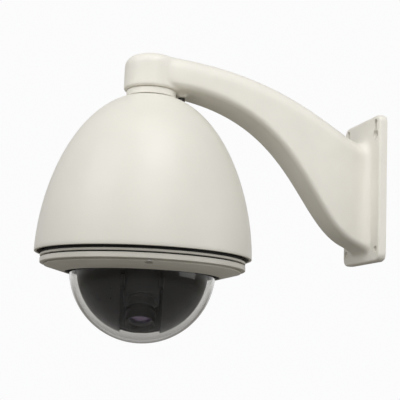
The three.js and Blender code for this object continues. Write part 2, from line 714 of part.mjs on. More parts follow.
part("wall_arm", camera, ivoryPaint, wallArm());
part(
  "wall_gasket",
  camera,
  rubber,
  standUp(extrude(gasketShape(0), WALL_GASKET_THICK - GAP, { curveSegments: 3 })),
  [0, 0, GASKET_CENTRE_Z],
);
const lockScrew = part(
  "neck_lock_screw",
  camera,
  steel,
  socketScrew(LOCK_SCREW_HEAD_R, LOCK_SCREW_HEAD, LOCK_SCREW_R, LOCK_SCREW_LENGTH),
  [0, LUG_Y, LUG_FACE_Z - GAP - LOCK_SCREW_HEAD],
);
lockScrew.rotation.x = Math.PI;

// ---------------------------------------------------------------- neck

const PIPE_Z = BOSS_TOP_Z - PIPE_IN_HOUSING - HOUSING_WALL;
part(
  "pipe_nipple",
  drop,
  zinc,
  tube(PIPE_R, PIPE_BORE, HEAD_FACE_Z + PIPE_IN_HEAD - PIPE_Z, PIPE_SIDES),
  [0, 0, PIPE_Z],
);
part(
  "lock_collar",
  drop,
  ivoryPaint,
  turned(
    [
      [PIPE_R + GAP, 0],
      [COLLAR_R, 0],
      [COLLAR_R, COLLAR_HEIGHT - COLLAR_CHAMFER],
      [COLLAR_R - COLLAR_CHAMFER, COLLAR_HEIGHT],
      [PIPE_R + GAP, COLLAR_HEIGHT],
    ],
    PIPE_SIDES,
  ),
  [0, 0, COLLAR_Z],
);
part(
  "neck_gasket",
  drop,
  rubber,
  tube(NECK_GASKET_R, PIPE_R + GAP, NECK_GASKET_HEIGHT, PIPE_SIDES),
  [0, 0, NECK_GASKET_Z],
);

// ---------------------------------------------------------------- sunshield and pressure housing

function sunshield() {
  const innerR = SHIELD_R - SHIELD_WALL;
  const innerHeight = SHIELD_HEIGHT - SHIELD_WALL;
  const landZ = CROWN_Z - SHIELD_WALL;
  const outside = bellProfile(SHIELD_R, SHIELD_HEIGHT, SHIELD_EDGE, CROWN_Z, BELL_STEPS);
  const inside = bellProfile(innerR, innerHeight, 0, landZ, BELL_STEPS).reverse();
  return turned(
    [[SHIELD_R - SHIELD_EDGE, 0], ...outside, [PIPE_R + GAP, CROWN_Z], [PIPE_R + GAP, landZ], ...inside],
    SHELL_SIDES,
  );
}

function innerHousing() {
  const bossFoot = bellZ(HOUSING_R, HOUSING_HEIGHT, HOUSING_BOSS_R);
  const flangeTop = HOUSING_FLANGE_THICK - HOUSING_DROP;
  const innerR = HOUSING_R - HOUSING_WALL;
  const innerHeight = HOUSING_HEIGHT - HOUSING_WALL;
  const ceiling = bellZ(innerR, innerHeight, HOUSING_BOSS_R);
  return turned(
    [
      [innerR, -HOUSING_DROP],
      [HOUSING_FLANGE_R, -HOUSING_DROP],
      [HOUSING_FLANGE_R, flangeTop],
      ...bellProfile(HOUSING_R, HOUSING_HEIGHT, flangeTop, bossFoot, BELL_STEPS),
      [HOUSING_BOSS_R, BOSS_TOP_Z],
      [PIPE_R + GAP, BOSS_TOP_Z],
      [PIPE_R + GAP, ceiling],
      ...bellProfile(innerR, innerHeight, 0, ceiling, BELL_STEPS).reverse(),
    ],
    RING_SIDES,
  );
}

// A rubber band round the housing's foot with blocks that keep the shield off it, so air passes between them.
function shieldSpacer() {
  const low = HOUSING_FLANGE_THICK - HOUSING_DROP + GAP;
  const inner = bellR(HOUSING_R, HOUSING_HEIGHT, low) + GAP;
  const outer = bellR(SHIELD_R - SHIELD_WALL, SHIELD_HEIGHT - SHIELD_WALL, low + SPACER_HEIGHT);
  const blocks = Array.from({ length: SPACERS }, (_, i) => {
    const middle = (2 * Math.PI * i) / SPACERS;
    const shape = new THREE.Shape();
    const from = middle - SPACER_ANGLE / 2;
    const to = middle + SPACER_ANGLE / 2;
    shape.absarc(0, 0, outer - SPACER_CLEARANCE, from, to, false);
    shape.absarc(0, 0, inner + WEB, to, from, true);
    shape.closePath();
    return extrude(shape, SPACER_HEIGHT, { curveSegments: 3 });
  });
  const band = tube(inner + SPACER_BAND, inner, SPACER_BAND_HEIGHT, RING_SIDES);
  return join(band, ...blocks).translate(0, 0, low);
}

part("sunshield", drop, ivoryPlastic, sunshield());
part("inner_housing", drop, aluminium, innerHousing());
const LOCKNUT_TOP_Z =
  bellZ(HOUSING_R - HOUSING_WALL, HOUSING_HEIGHT - HOUSING_WALL, LOCKNUT_R) - LOCKNUT_GAP;
const locknutBore = rod(PIPE_R + GAP, LOCKNUT_HEIGHT + 2 * THROUGH, PIPE_SIDES);
part(
  "pipe_locknut",
  drop,
  zinc,
  cut(rod(LOCKNUT_R, LOCKNUT_HEIGHT, 6), locknutBore.translate(0, 0, -THROUGH)),
  [0, 0, LOCKNUT_TOP_Z - LOCKNUT_HEIGHT],
);
part("shield_spacer", drop, rubber, shieldSpacer());

// ---------------------------------------------------------------- rings, bubble and clamp

const TRIM_SCREW_ANGLES = Array.from(
  { length: TRIM_SCREWS },
  (_, i) => TRIM_SCREW_FIRST + (2 * Math.PI * i) / TRIM_SCREWS,
);

// Cutters for the screws' shanks through a piece that starts at low and is thick high.
function screwClearance(low, thick) {
  return TRIM_SCREW_ANGLES.map((angle) =>
    rod(TRIM_SCREW_R + GAP, thick + 2 * THROUGH, SMALL_SIDES)
      .translate(...around(TRIM_SCREW_CIRCLE, angle, low - THROUGH)));
}

function trimRing() {
  const ring = turned(
    [
      [TRIM_LIP_R, TRIM_LIP_Z],
      [TRIM_LIP_R + TRIM_LIP, TRIM_LIP_Z],
      [SLOPE_R, SLOPE_TOP_Z],
      [SLOPE_R, GROOVE_TOP_Z],
      [RING_R - TRIM_CHAMFER, GROOVE_TOP_Z],
      [RING_R, GROOVE_TOP_Z + TRIM_CHAMFER],
      [RING_R, TRIM_TOP_Z - TRIM_CHAMFER],
      [RING_R - TRIM_CHAMFER, TRIM_TOP_Z],
      [BUBBLE_POCKET_R, TRIM_TOP_Z],
      [BUBBLE_POCKET_R, SHELF_Z],
      [TRIM_LIP_R, SHELF_Z],
    ],
    SHELL_SIDES,
  );
  const depth = TRIM_TOP_Z - TRIM_LIP_Z;
  const seats = TRIM_SCREW_ANGLES.map((angle) =>
    rod(TRIM_SCREW_HEAD_R + GAP, depth, SMALL_SIDES)
      .translate(...around(TRIM_SCREW_CIRCLE, angle, TRIM_SCREW_SEAT_Z - depth)));
  return cut(ring, ...screwClearance(TRIM_LIP_Z, depth), ...seats);
}

function bubble() {
  const innerR = BUBBLE_R - BUBBLE_WALL;
  return turned(
    [
      ...arc(0, 0, BUBBLE_R, -Math.PI / 2, 0, DOME_STEPS),
      [BUBBLE_FLANGE_R, 0],
      [BUBBLE_FLANGE_R, BUBBLE_FLANGE_THICK],
      [innerR, BUBBLE_FLANGE_THICK],
      ...arc(0, 0, innerR, 0, -Math.PI / 2, DOME_STEPS),
    ],
    RING_SIDES,
  );
}

// A flat ring between z = low and low + thick, with holes for the trim screws.
function screwedRing(r, bore, low, thick) {
  return cut(tube(r, bore, thick, SHELL_SIDES).translate(0, 0, low), ...screwClearance(low, thick));
}

part("mounting_ring", drop, ivoryPaint, screwedRing(RING_R, RING_BORE, RING_TOP_Z - RING_THICK, RING_THICK));
part("ring_seal", drop, rubber, screwedRing(SEAL_R, SEAL_BORE, SEAL_TOP_Z - SEAL_THICK, SEAL_THICK));
part("trim_ring", drop, ivoryPaint, trimRing());

const TRIM_SCREW_LENGTH = RING_TOP_Z - RING_THICK / 3 - TRIM_SCREW_SEAT_Z + GAP;
TRIM_SCREW_ANGLES.forEach((angle, i) => {
  const screw = part(
    `trim_screw_${i + 1}`,
    drop,
    steel,
    socketScrew(TRIM_SCREW_HEAD_R, TRIM_SCREW_HEAD, TRIM_SCREW_R, TRIM_SCREW_LENGTH),
    around(TRIM_SCREW_CIRCLE, angle, TRIM_SCREW_SEAT_Z - GAP - TRIM_SCREW_HEAD),
  );
  screw.rotation.x = Math.PI;
});

part(
  "bubble_gasket",
  drop,
  rubber,
  turned(
    [
      [BUBBLE_R + GAP, -BUBBLE_GASKET_LIP],
      [TRIM_LIP_R - GAP, -BUBBLE_GASKET_LIP],
      [TRIM_LIP_R - GAP, 0],
      [BUBBLE_FLANGE_R, 0],
      [BUBBLE_FLANGE_R, BUBBLE_GASKET_THICK],
      [BUBBLE_R + GAP, BUBBLE_GASKET_THICK],
    ],
    RING_SIDES,
  ),
  [0, 0, BUBBLE_GASKET_Z],
);
part("dome_bubble", drop, clearAcrylic, bubble(), [0, 0, BUBBLE_Z]);
part(
  "bubble_clamp",
  drop,
  darkPlastic,
  tube(BUBBLE_FLANGE_R, CLAMP_BORE, CLAMP_THICK, RING_SIDES),
  [0, 0, CLAMP_Z],
);

// ---------------------------------------------------------------- chassis, electronics, heater and fan

const PAN_MOTOR_AT = [-PAN_CENTRES, 0];
const FAN_AT = [0, FAN_OFFSET];

function chassisPlate() {
  const shape = new THREE.Shape();
  shape.absarc(0, 0, CHASSIS_R, 0, 2 * Math.PI);
  shape.holes.push(circleHole(0, 0, SHAFT_R + GAP));
  shape.holes.push(circleHole(...PAN_MOTOR_AT, MOTOR_SHAFT_R + SHAFT_HOLE_MARGIN));
  shape.holes.push(circleHole(...FAN_AT, FAN_BORE_R));
  return extrude(shape, CHASSIS_THICK, { curveSegments: 12 });
}

part("chassis_plate", drop, zinc, chassisPlate(), [0, 0, CHASSIS_Z]);
for (let i = 0; i < POSTS; i++) {
  const angle = TRIM_SCREW_FIRST + Math.PI / POSTS + (2 * Math.PI * i) / POSTS;
  part(
    `chassis_post_${i + 1}`,
    drop,
    aluminium,
    rod(POST_R, CHASSIS_Z - RING_TOP_Z - 2 * GAP, POST_SIDES),
    around(POST_CIRCLE, angle, RING_TOP_Z + GAP),
  );
}

function powerBoard() {
  const shape = new THREE.Shape();
  shape.absarc(0, 0, BOARD_R, 0, 2 * Math.PI);
  shape.holes.push(circleHole(0, 0, BOARD_BORE));
  const top = BOARD_THICK - WEB;
  const standing = (size, at) => box(...size).translate(...at, top + size[2] / 2);
  return join(
    extrude(shape, BOARD_THICK, { curveSegments: 10 }),
    ...CAPACITORS_AT.map((at) => rod(CAPACITOR_R, CAPACITOR_HEIGHT, SMALL_SIDES).translate(...at, top)),
    standing(TERMINAL_BLOCK, TERMINAL_BLOCK_AT),
    standing(RELAY, RELAY_AT),
  );
}

function transformer() {
  const core = box(TRANSFORMER_WIDTH, CORE_SHARE * TRANSFORMER_DEPTH, TRANSFORMER_HEIGHT);
  const winding = box(
    WINDING_SHARE * TRANSFORMER_WIDTH,
    TRANSFORMER_DEPTH,
    WINDING_SHARE * TRANSFORMER_HEIGHT,
  );
  return join(core, winding).translate(0, 0, TRANSFORMER_HEIGHT / 2);
}

function heater() {
  const base = box(HEATER_WIDTH, HEATER_LENGTH, HEATER_BASE).translate(0, 0, HEATER_BASE / 2);
  const pitch = (HEATER_WIDTH - HEATER_FIN_THICK) / (HEATER_FINS - 1);
  const fins = Array.from({ length: HEATER_FINS }, (_, i) =>
    box(HEATER_FIN_THICK, HEATER_LENGTH, HEATER_HEIGHT)
      .translate((i - (HEATER_FINS - 1) / 2) * pitch, 0, HEATER_HEIGHT / 2),
  );
  return join(base, ...fins);
}

function fanFrame() {
  const shape = roundedRect(FAN_SIZE, FAN_SIZE, FAN_CORNER);
  shape.holes.push(circleHole(0, 0, FAN_BORE_R));
  const spokes = FAN_SPOKE_ANGLES.map((angle) =>
    box(2 * (FAN_BORE_R + THROUGH), FAN_SPOKE, FAN_BASE).rotateZ(angle).translate(0, 0, FAN_BASE / 2));
  return join(extrude(shape, FAN_HEIGHT), rod(FAN_HUB_R, FAN_BASE, SMALL_SIDES), ...spokes);
}

function fanImpeller() {
  const height = FAN_HEIGHT - FAN_BASE - FAN_TOP_GAP;
  const tip = FAN_BORE_R - FAN_TIP_GAP;
  const root = FAN_HUB_R - FAN_BLADE_ROOT;
  const blades = Array.from({ length: FAN_BLADES }, (_, i) =>
    box(tip - root, FAN_BLADE_THICK, height)
      .rotateX(FAN_BLADE_PITCH)
      .translate((tip + root) / 2, 0, height / 2)
      .rotateZ((2 * Math.PI * i) / FAN_BLADES),
  );
  return join(rod(FAN_HUB_R, height), ...blades);
}

part("power_board", drop, boardGreen, powerBoard(), [0, 0, BOARD_Z]);
part("power_transformer", drop, copper, transformer(), [
  0,
  TRANSFORMER_OFFSET,
  BOARD_Z + BOARD_THICK + GAP,
]);
BOARD_POST_ANGLES.forEach((angle, i) =>
  part(
    `board_post_${i + 1}`,
    drop,
    aluminium,
    rod(BOARD_POST_R, BOARD_Z - CHASSIS_TOP_Z - GAP, POST_SIDES),
    around(BOARD_POST_CIRCLE, angle, CHASSIS_TOP_Z),
  ));
part("heater_block", drop, aluminium, heater(), [0, -HEATER_OFFSET, CHASSIS_TOP_Z]);
part("fan_frame", drop, darkPlastic, fanFrame(), [...FAN_AT, CHASSIS_TOP_Z]);
part("fan_impeller", drop, blackPlastic, fanImpeller(), [...FAN_AT, CHASSIS_TOP_Z + FAN_BASE + GAP]);

// ---------------------------------------------------------------- pan drive

const PAN_PULLEY_R = tipRadius(PAN_PULLEY_TEETH);
const PAN_PINION_R = tipRadius(PAN_PINION_TEETH);
const PULLEY_HEIGHT = PAN_BELT_WIDTH + 2 * PULLEY_RIM;

// A square motor with chamfered corners and a blind bore in its lower face for its own shaft.
function squareMotor(size, height) {
  const half = size / 2;
  const flat = half - PAN_MOTOR_CORNER;
  const centre = new THREE.Vector2();
  const corners = [0, 1, 2, 3].flatMap((quarter) =>
    [-flat, flat].map((along) =>
      new THREE.Vector2(along, -half).rotateAround(centre, (quarter * Math.PI) / 2)));
  return cut(extrude(new THREE.Shape(corners), height), shaftBore());
}

// A cutter for the blind bore that a motor's shaft turns in, from z = 0 up.
function shaftBore() {
  const depth = MOTOR_SHAFT_IN + MOTOR_SHAFT_END;
  return rod(MOTOR_SHAFT_R + GAP, THROUGH + depth, SMALL_SIDES).translate(0, 0, -THROUGH);
}

part(
  "pan_bearing",
  drop,
  steel,
  tube(BEARING_R, SHAFT_R + GAP, BEARING_HEIGHT),
  [0, 0, CHASSIS_Z - GAP - BEARING_HEIGHT],
);
part(
  "slip_ring",
  drop,
  darkPlastic,
  tube(SLIP_RING_R, SHAFT_R + GAP, SLIP_RING_HEIGHT),
  [0, 0, CHASSIS_TOP_Z],
);
part("pan_motor", drop, darkPlastic, squareMotor(PAN_MOTOR_SIZE, PAN_MOTOR_HEIGHT), [
  ...PAN_MOTOR_AT,
  CHASSIS_TOP_Z,
]);
part(
  "pan_belt",
  drop,
  rubber,
  belt(PAN_PULLEY_R, PAN_PINION_R, PAN_CENTRES, PAN_BELT_WIDTH),
  [0, 0, PAN_PULLEY_Z + (PULLEY_HEIGHT - PAN_BELT_WIDTH) / 2],
  Math.PI,
);
part(
  "pan_pinion",
  drop,
  steel,
  join(
    toothed(PAN_PINION_TEETH, PULLEY_HEIGHT, 0),
    rod(MOTOR_SHAFT_R, CHASSIS_TOP_Z - PAN_PULLEY_Z + MOTOR_SHAFT_IN, SMALL_SIDES),
  ),
  [...PAN_MOTOR_AT, PAN_PULLEY_Z],
);

// ---------------------------------------------------------------- what turns with the pan axis

part(
  "pan_shaft",
  pan,
  steel,
  turned(
    [
      [SHAFT_BORE, SHAFT_FOOT_Z],
      [SHAFT_FOOT_R, SHAFT_FOOT_Z],
      [SHAFT_FOOT_R, SHAFT_FOOT_Z + SHAFT_FOOT_THICK],
      [SHAFT_R, SHAFT_FOOT_Z + SHAFT_FOOT_THICK],
      [SHAFT_R, SHAFT_TOP],
      [SHAFT_BORE, SHAFT_TOP],
    ],
  ),
);
part(
  "pan_pulley",
  pan,
  whiteNylon,
  toothed(PAN_PULLEY_TEETH, PULLEY_HEIGHT, SHAFT_R + GAP),
  [0, 0, PAN_PULLEY_Z],
);
part(
  "turntable",
  pan,
  zinc,
  tube(TURNTABLE_R, SHAFT_BORE, TURNTABLE_THICK, RING_SIDES),
  [0, 0, TURNTABLE_Z],
);

function liner() {
  const innerR = LINER_R - LINER_WALL;
  const innerFlat = LINER_FLAT - LINER_WALL;
  const outerStart = -Math.asin(LINER_FLAT / LINER_R);
  const innerStart = -Math.asin(innerFlat / innerR);
  const flangeBottom = SHAFT_FOOT_Z;
  const flangeTop = flangeBottom + LINER_WALL;
  const shell = turned(
    [
      [0, BUBBLE_Z - LINER_FLAT],
      ...arc(0, BUBBLE_Z, LINER_R, outerStart, 0, DOME_STEPS),
      [LINER_R, flangeTop],
      [TURNTABLE_R - LINER_FLANGE, flangeTop],
      [TURNTABLE_R - LINER_FLANGE, flangeBottom],
      [innerR, flangeBottom],
      ...arc(0, BUBBLE_Z, innerR, 0, innerStart, DOME_STEPS),
      [0, BUBBLE_Z - innerFlat],
    ],
    RING_SIDES,
  );
  const slotTop = TURNTABLE_Z - SLOT_TOP;
  const slotBottom = BUBBLE_Z - LINER_R - THROUGH;
  const front = -LINER_R - THROUGH;
  const slot = box(SLOT_WIDTH, SLOT_BEHIND - front, slotTop - slotBottom);
  return cut(shell, slot.translate(0, (SLOT_BEHIND + front) / 2, (slotTop + slotBottom) / 2));
}

part("liner", pan, blackPlastic, liner());

// The yoke arm's outline in (Y, Z) about the tilt axis; the driven side also reaches back to carry the motor.
function yokeArm(driven) {
  const top = TILT_DROP + TURNTABLE_Z - GAP - BUBBLE_Z;
  const shape = new THREE.Shape();
  shape.absarc(0, 0, YOKE_ROUND, Math.PI, 2 * Math.PI);
  const back = driven ? TILT_MOTOR_BACK + TILT_MOTOR_R : YOKE_ROUND;
  if (driven) {
    shape.lineTo(TILT_MOTOR_BACK, TILT_MOTOR_RISE - TILT_MOTOR_R - YOKE_EDGE);
    shape.lineTo(back, TILT_MOTOR_RISE - YOKE_CORNER);
  }
  shape.lineTo(back, top);
  shape.lineTo(-YOKE_ROUND, top);
  shape.closePath();
  shape.holes.push(circleHole(0, 0, TILT_BEARING_R + GAP));
  if (driven)
    shape.holes.push(circleHole(TILT_MOTOR_BACK, TILT_MOTOR_RISE, MOTOR_SHAFT_R + SHAFT_HOLE_MARGIN));
  const web = extrude(shape, YOKE_THICK).rotateX(Math.PI / 2).rotateZ(Math.PI / 2);
  const length = back + YOKE_ROUND;
  const foot = box(YOKE_FOOT, length, YOKE_THICK)
    .translate(YOKE_THICK + YOKE_FOOT / 2 - WEB, length / 2 - YOKE_ROUND, top - YOKE_THICK / 2);
  return join(web, foot);
}

const TILT_Z = BUBBLE_Z - TILT_DROP;
part("yoke_arm_right", pan, zinc, yokeArm(true), [YOKE_HALF, 0, TILT_Z]);
part("yoke_arm_left", pan, zinc, yokeArm(false).rotateZ(Math.PI), [-YOKE_HALF, 0, TILT_Z]);

// Along X, starting at its own origin.
const sideways = (geometry) => geometry.rotateY(Math.PI / 2);

for (const [side, x] of [["right", YOKE_HALF], ["left", -YOKE_HALF - YOKE_THICK]])
  part(
    `tilt_bearing_${side}`,
    pan,
    steel,
    sideways(tube(TILT_BEARING_R, TRUNNION_R + GAP, YOKE_THICK)),
    [x, 0, TILT_Z],
  );

const TILT_PULLEY_X = YOKE_HALF + YOKE_THICK + TILT_PULLEY_GAP;
const TILT_PULLEY_WIDTH = TILT_BELT_WIDTH + 2 * PULLEY_RIM;
const MOTOR_LEAN = Math.atan2(TILT_MOTOR_RISE, TILT_MOTOR_BACK);
const TILT_MOTOR_AT = [TILT_MOTOR_BACK, TILT_Z + TILT_MOTOR_RISE];

part(
  "tilt_motor",
  pan,
  darkPlastic,
  sideways(cut(rod(TILT_MOTOR_R, TILT_MOTOR_LENGTH), shaftBore())).rotateZ(Math.PI),
  [YOKE_HALF - GAP, ...TILT_MOTOR_AT],
);
const TILT_SHAFT_LENGTH = TILT_PULLEY_GAP + YOKE_THICK + MOTOR_SHAFT_IN;
part(
  "tilt_pinion",
  pan,
  steel,
  sideways(
    join(
      toothed(TILT_PINION_TEETH, TILT_PULLEY_WIDTH, 0),
      rod(MOTOR_SHAFT_R, TILT_SHAFT_LENGTH + WEB, SMALL_SIDES).translate(0, 0, -TILT_SHAFT_LENGTH),
    ),
  ),
  [TILT_PULLEY_X, ...TILT_MOTOR_AT],
);
part(
  "tilt_belt",
  pan,
  rubber,
  belt(
    tipRadius(TILT_PULLEY_TEETH),
    tipRadius(TILT_PINION_TEETH),
    Math.hypot(TILT_MOTOR_BACK, TILT_MOTOR_RISE),
    TILT_BELT_WIDTH,
  )
    .rotateX(Math.PI / 2)
    .rotateZ(Math.PI / 2)
    .rotateX(MOTOR_LEAN),
  [TILT_PULLEY_X + (TILT_PULLEY_WIDTH - TILT_BELT_WIDTH) / 2, 0, TILT_Z],
);

// The driver board stands on edge under the turntable, beside the left yoke arm.
function driveBoard() {
  const parts = DRIVE_BOARD_PARTS.map(([thick, length, height, along, up]) =>
    box(thick, length, height).translate(WEB - (BOARD_THICK + thick) / 2, along, up));
  return join(box(BOARD_THICK, DRIVE_BOARD_LENGTH, DRIVE_BOARD_HEIGHT), ...parts);
}

part("drive_board", pan, boardGreen, driveBoard(), [
  -YOKE_HALF - YOKE_THICK - YOKE_FOOT - DRIVE_BOARD_GAP - BOARD_THICK / 2,
  DRIVE_BOARD_SHIFT,
  TURNTABLE_Z - DRIVE_BOARD_GAP - DRIVE_BOARD_HEIGHT / 2,
]);

// ---------------------------------------------------------------- what tilts

const BLOCK_DEPTH = BLOCK_FRONT + BLOCK_BACK;
const COVER_Y = BLOCK_BACK + GAP;

// Along -Y, the way the camera looks, from the given distance ahead of the tilt axis backwards.
const facing = (geometry) => geometry.rotateX(Math.PI / 2);

// The camera block's outline, set in by the given wall.
const blockOutline = (wall) =>
  roundedRect(BLOCK_WIDTH - 2 * wall, BLOCK_HEIGHT - 2 * wall, BLOCK_ROUND - wall);

function cameraHousing() {
  const hollow = standUp(extrude(blockOutline(BLOCK_WALL), BLOCK_DEPTH, { curveSegments: 3 }));
  const bore = facing(rod(BARREL_R + GAP, BLOCK_WALL + 2 * THROUGH));
  return cut(
    standUp(extrude(blockOutline(0), BLOCK_DEPTH, { curveSegments: 3 })).translate(0, BLOCK_BACK, 0),
    hollow.translate(0, BLOCK_BACK + BLOCK_WALL, 0),
    bore.translate(0, -BLOCK_FRONT + BLOCK_WALL + THROUGH, 0),
  );
}

part("camera_housing", tilt, darkPlastic, cameraHousing());
part(
  "camera_rear_cover",
  tilt,
  darkPlastic,
  standUp(extrude(blockOutline(0), COVER_THICK, { curveSegments: 3 })),
  [0, COVER_Y + COVER_THICK, 0],
);
// The barrel starts inside the block and has a flange against the block's front.
function lensBarrel() {
  const flange = BLOCK_FRONT + GAP - BARREL_BACK;
  const flangeR = HOOD_R - HOOD_LIP;
  const front = BARREL_FRONT - BARREL_BACK;
  return facing(turned([
    [BARREL_BORE, 0],
    [BARREL_R, 0],
    [BARREL_R, flange],
    [flangeR, flange],
    [flangeR, flange + BARREL_FLANGE],
    [BARREL_R, flange + BARREL_FLANGE],
    [BARREL_R, front],
    [BARREL_BORE, front],
  ]));
}

part("lens_barrel", tilt, darkPlastic, lensBarrel(), [0, -BARREL_BACK, 0]);
part(
  "lens_hood",
  tilt,
  blackPlastic,
  facing(
    turned([
      [BARREL_R + GAP, 0],
      [HOOD_R, 0],
      [HOOD_R, HOOD_LENGTH],
      [HOOD_R - HOOD_LIP, HOOD_LENGTH],
      [BARREL_R + GAP, HOOD_LENGTH - (HOOD_FRONT - BARREL_FRONT)],
    ]),
  ),
  [0, -HOOD_FRONT + HOOD_LENGTH, 0],
);

// A lens in its cell: a disc with a domed front.
function lensCell(r, length, dome) {
  const sphere = (r * r + dome * dome) / (2 * dome);
  const half = Math.asin(r / sphere);
  const face = arc(0, length - sphere, sphere, Math.PI / 2 - half, Math.PI / 2, 4);
  return facing(turned([[0, 0], [r, 0], ...face]));
}

for (const [name, front, length, dome] of [
  ["front_lens", BARREL_FRONT, FRONT_LENS_THICK, FRONT_LENS_DOME],
  ["zoom_lens_group", ZOOM_CELL_FRONT, ZOOM_CELL_LENGTH, ZOOM_CELL_DOME],
  ["focus_lens_group", FOCUS_CELL_FRONT, FOCUS_CELL_LENGTH, FOCUS_CELL_DOME],
])
  part(name, tilt, glass, lensCell(BARREL_BORE - GAP, length, dome), [0, -front + length, 0]);

part("cut_filter", tilt, glass, box(FILTER_SIZE, FILTER_THICK, FILTER_SIZE), [
  FILTER_START,
  -FILTER_PLACE,
  0,
]);

// The board stands across the block on the tilt axis, with the sensor in front and its plug behind.
function sensorBoard() {
  const margin = 2 * (BLOCK_WALL + SENSOR_MARGIN);
  const chip = box(...SENSOR_CHIP).translate(0, WEB - (BOARD_THICK + SENSOR_CHIP[1]) / 2, 0);
  const plug = box(...SENSOR_PLUG).translate(0, (BOARD_THICK + SENSOR_PLUG[1]) / 2 - WEB, -SENSOR_PLUG_DROP);
  return join(box(BLOCK_WIDTH - margin, BOARD_THICK, BLOCK_HEIGHT - margin), chip, plug);
}

part("sensor_board", tilt, boardGreen, sensorBoard());

// The trunnions run from the block's sides through the bearings; the right one also carries the pulley.
function trunnion(length) {
  return join(rod(TRUNNION_R, length), rod(TRUNNION_FLANGE_R, YOKE_HALF - BLOCK_WIDTH / 2 - TRUNNION_GAP));
}

const TRUNNION_START = BLOCK_WIDTH / 2 + GAP;
part(
  "trunnion_right",
  tilt,
  steel,
  sideways(trunnion(TILT_PULLEY_X + TILT_PULLEY_WIDTH - TRUNNION_START)),
  [TRUNNION_START, 0, 0],
);
part(
  "trunnion_left",
  tilt,
  steel,
  sideways(trunnion(YOKE_HALF + YOKE_THICK + TRUNNION_END - TRUNNION_START)).rotateZ(Math.PI),
  [-TRUNNION_START, 0, 0],
);
part(
  "tilt_pulley",
  tilt,
  whiteNylon,
  sideways(toothed(TILT_PULLEY_TEETH, TILT_PULLEY_WIDTH, TRUNNION_R + GAP)),
  [TILT_PULLEY_X, 0, 0],
);

export default camera;
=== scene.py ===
"""A pan-tilt-zoom dome camera on a gooseneck wall arm.

The arm, the sunshield, the rings, the bubble and what shows through it are built here as smooth cast and
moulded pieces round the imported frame. The other pieces keep their frame shapes and get materials.
Sizes are in metres. Heights in the shield, rings, bubble and liner are above the shield's rim, RIM_Z.
"""

import json
import math

import bmesh
import bpy
from mathutils import Matrix, Vector


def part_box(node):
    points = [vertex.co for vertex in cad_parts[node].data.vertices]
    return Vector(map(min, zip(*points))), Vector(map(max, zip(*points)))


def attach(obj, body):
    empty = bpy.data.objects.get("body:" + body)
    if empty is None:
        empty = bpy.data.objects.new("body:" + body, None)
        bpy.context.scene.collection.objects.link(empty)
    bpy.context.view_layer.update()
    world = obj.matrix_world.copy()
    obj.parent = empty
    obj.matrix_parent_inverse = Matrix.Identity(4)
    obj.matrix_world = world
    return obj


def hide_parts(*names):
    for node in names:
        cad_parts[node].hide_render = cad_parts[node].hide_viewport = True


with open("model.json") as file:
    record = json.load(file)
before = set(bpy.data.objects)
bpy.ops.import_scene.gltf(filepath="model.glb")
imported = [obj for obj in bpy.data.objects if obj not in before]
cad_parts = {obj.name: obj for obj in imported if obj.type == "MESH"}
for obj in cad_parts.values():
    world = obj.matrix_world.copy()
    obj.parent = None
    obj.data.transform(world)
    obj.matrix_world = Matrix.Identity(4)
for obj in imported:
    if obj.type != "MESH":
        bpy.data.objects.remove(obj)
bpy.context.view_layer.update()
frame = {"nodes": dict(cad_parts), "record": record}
SLOT_OF = {part["node"]: part["material_slot"] for part in frame["record"]["subparts"]}
BODY_OF = {node: body for body, nodes in frame["record"]["behaviour"]["bodies"].items() for node in nodes}

# ---------------------------------------------------------------- places and sizes

shield_low, shield_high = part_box("sunshield")
DOME_Y = (shield_low.y + shield_high.y) / 2
RIM_Z = shield_low.z
DROP = Matrix.Translation((0, DOME_Y, RIM_Z))

# Where the lens looks at rest. Lens pieces are built along Z, and LENS_FRAME turns that to the lens's axis.
PAN = math.radians(77)
TILT = math.radians(60)
TILT_AXIS_Z = -0.128932
LENS_FRAME = (
    Matrix.Translation((0, DOME_Y, TILT_AXIS_Z))
    @ Matrix.Rotation(PAN, 4, "Z")
    @ Matrix.Rotation(TILT, 4, "X")
    @ Matrix.Rotation(math.radians(90), 4, "X")
)

# Wall plate and arm
PLATE_WIDTH, PLATE_HEIGHT, PLATE_THICK = 0.099, 0.1795, 0.0105
PLATE_CORNER = 0.009
PLATE_EDGE = 0.0015
KEYHOLE_X, KEYHOLE_SLOT_Z, KEYHOLE_ENTRY_Z = 0.0385, 0.082, 0.066
KEYHOLE_SLOT_R, KEYHOLE_ENTRY_R, KEYHOLE_TURN = 0.0033, 0.0063, 31.6
BOLT_X, BOLT_Z, BOLT_R = 0.041, -0.075, 0.0038
FOOT_Y = -PLATE_THICK
HEAD_TOP, HEAD_BOTTOM = 0.1378, 0.0965
FOOT_TOP, FOOT_BOTTOM = 0.0585, -0.0725
CROWN_FOOT_Z = 0.0618  # the crown's line runs out above FOOT_TOP, where it meets the plate
HEAD_WIDTH, FOOT_WIDTH = 0.063, 0.044
HEAD_R, HEAD_ROUND, HEAD_CHAMFER = 0.033, 0.013, 0.002
NECK_BLEND_Y, NECK_BLEND_RISE = -0.215, 0.008
BELLY_Z = HEAD_BOTTOM + 0.0035
ARM_ROUND_LOW, ARM_ROUND_HIGH, ARM_WALL, ARM_FLARE = 0.007, 0.020, 0.004, 0.007
ARM_RINGS, CHANNEL_RINGS, CORNER_STEPS = 72, 40, 12
LUG_WIDTH, LUG_LENGTH, LUG_DROP, LUG_GAP, LUG_ROUND = 0.015, 0.012, 0.0035, 0.0015, 0.003
GROOVE_MARGIN, GROOVE_WIDTH, GROOVE_DEPTH = 0.003, 0.0063, 0.002
GROOVE_OUTER_ROUND, GROOVE_INNER_ROUND = 0.0253, 0.0187
VOXEL = 0.0013
EASE_FACTOR, EASE_STEPS, FLOW_STEPS = 0.5, 9, 40
PAST = 0.001  # how far a cutting tool runs past the face that it opens

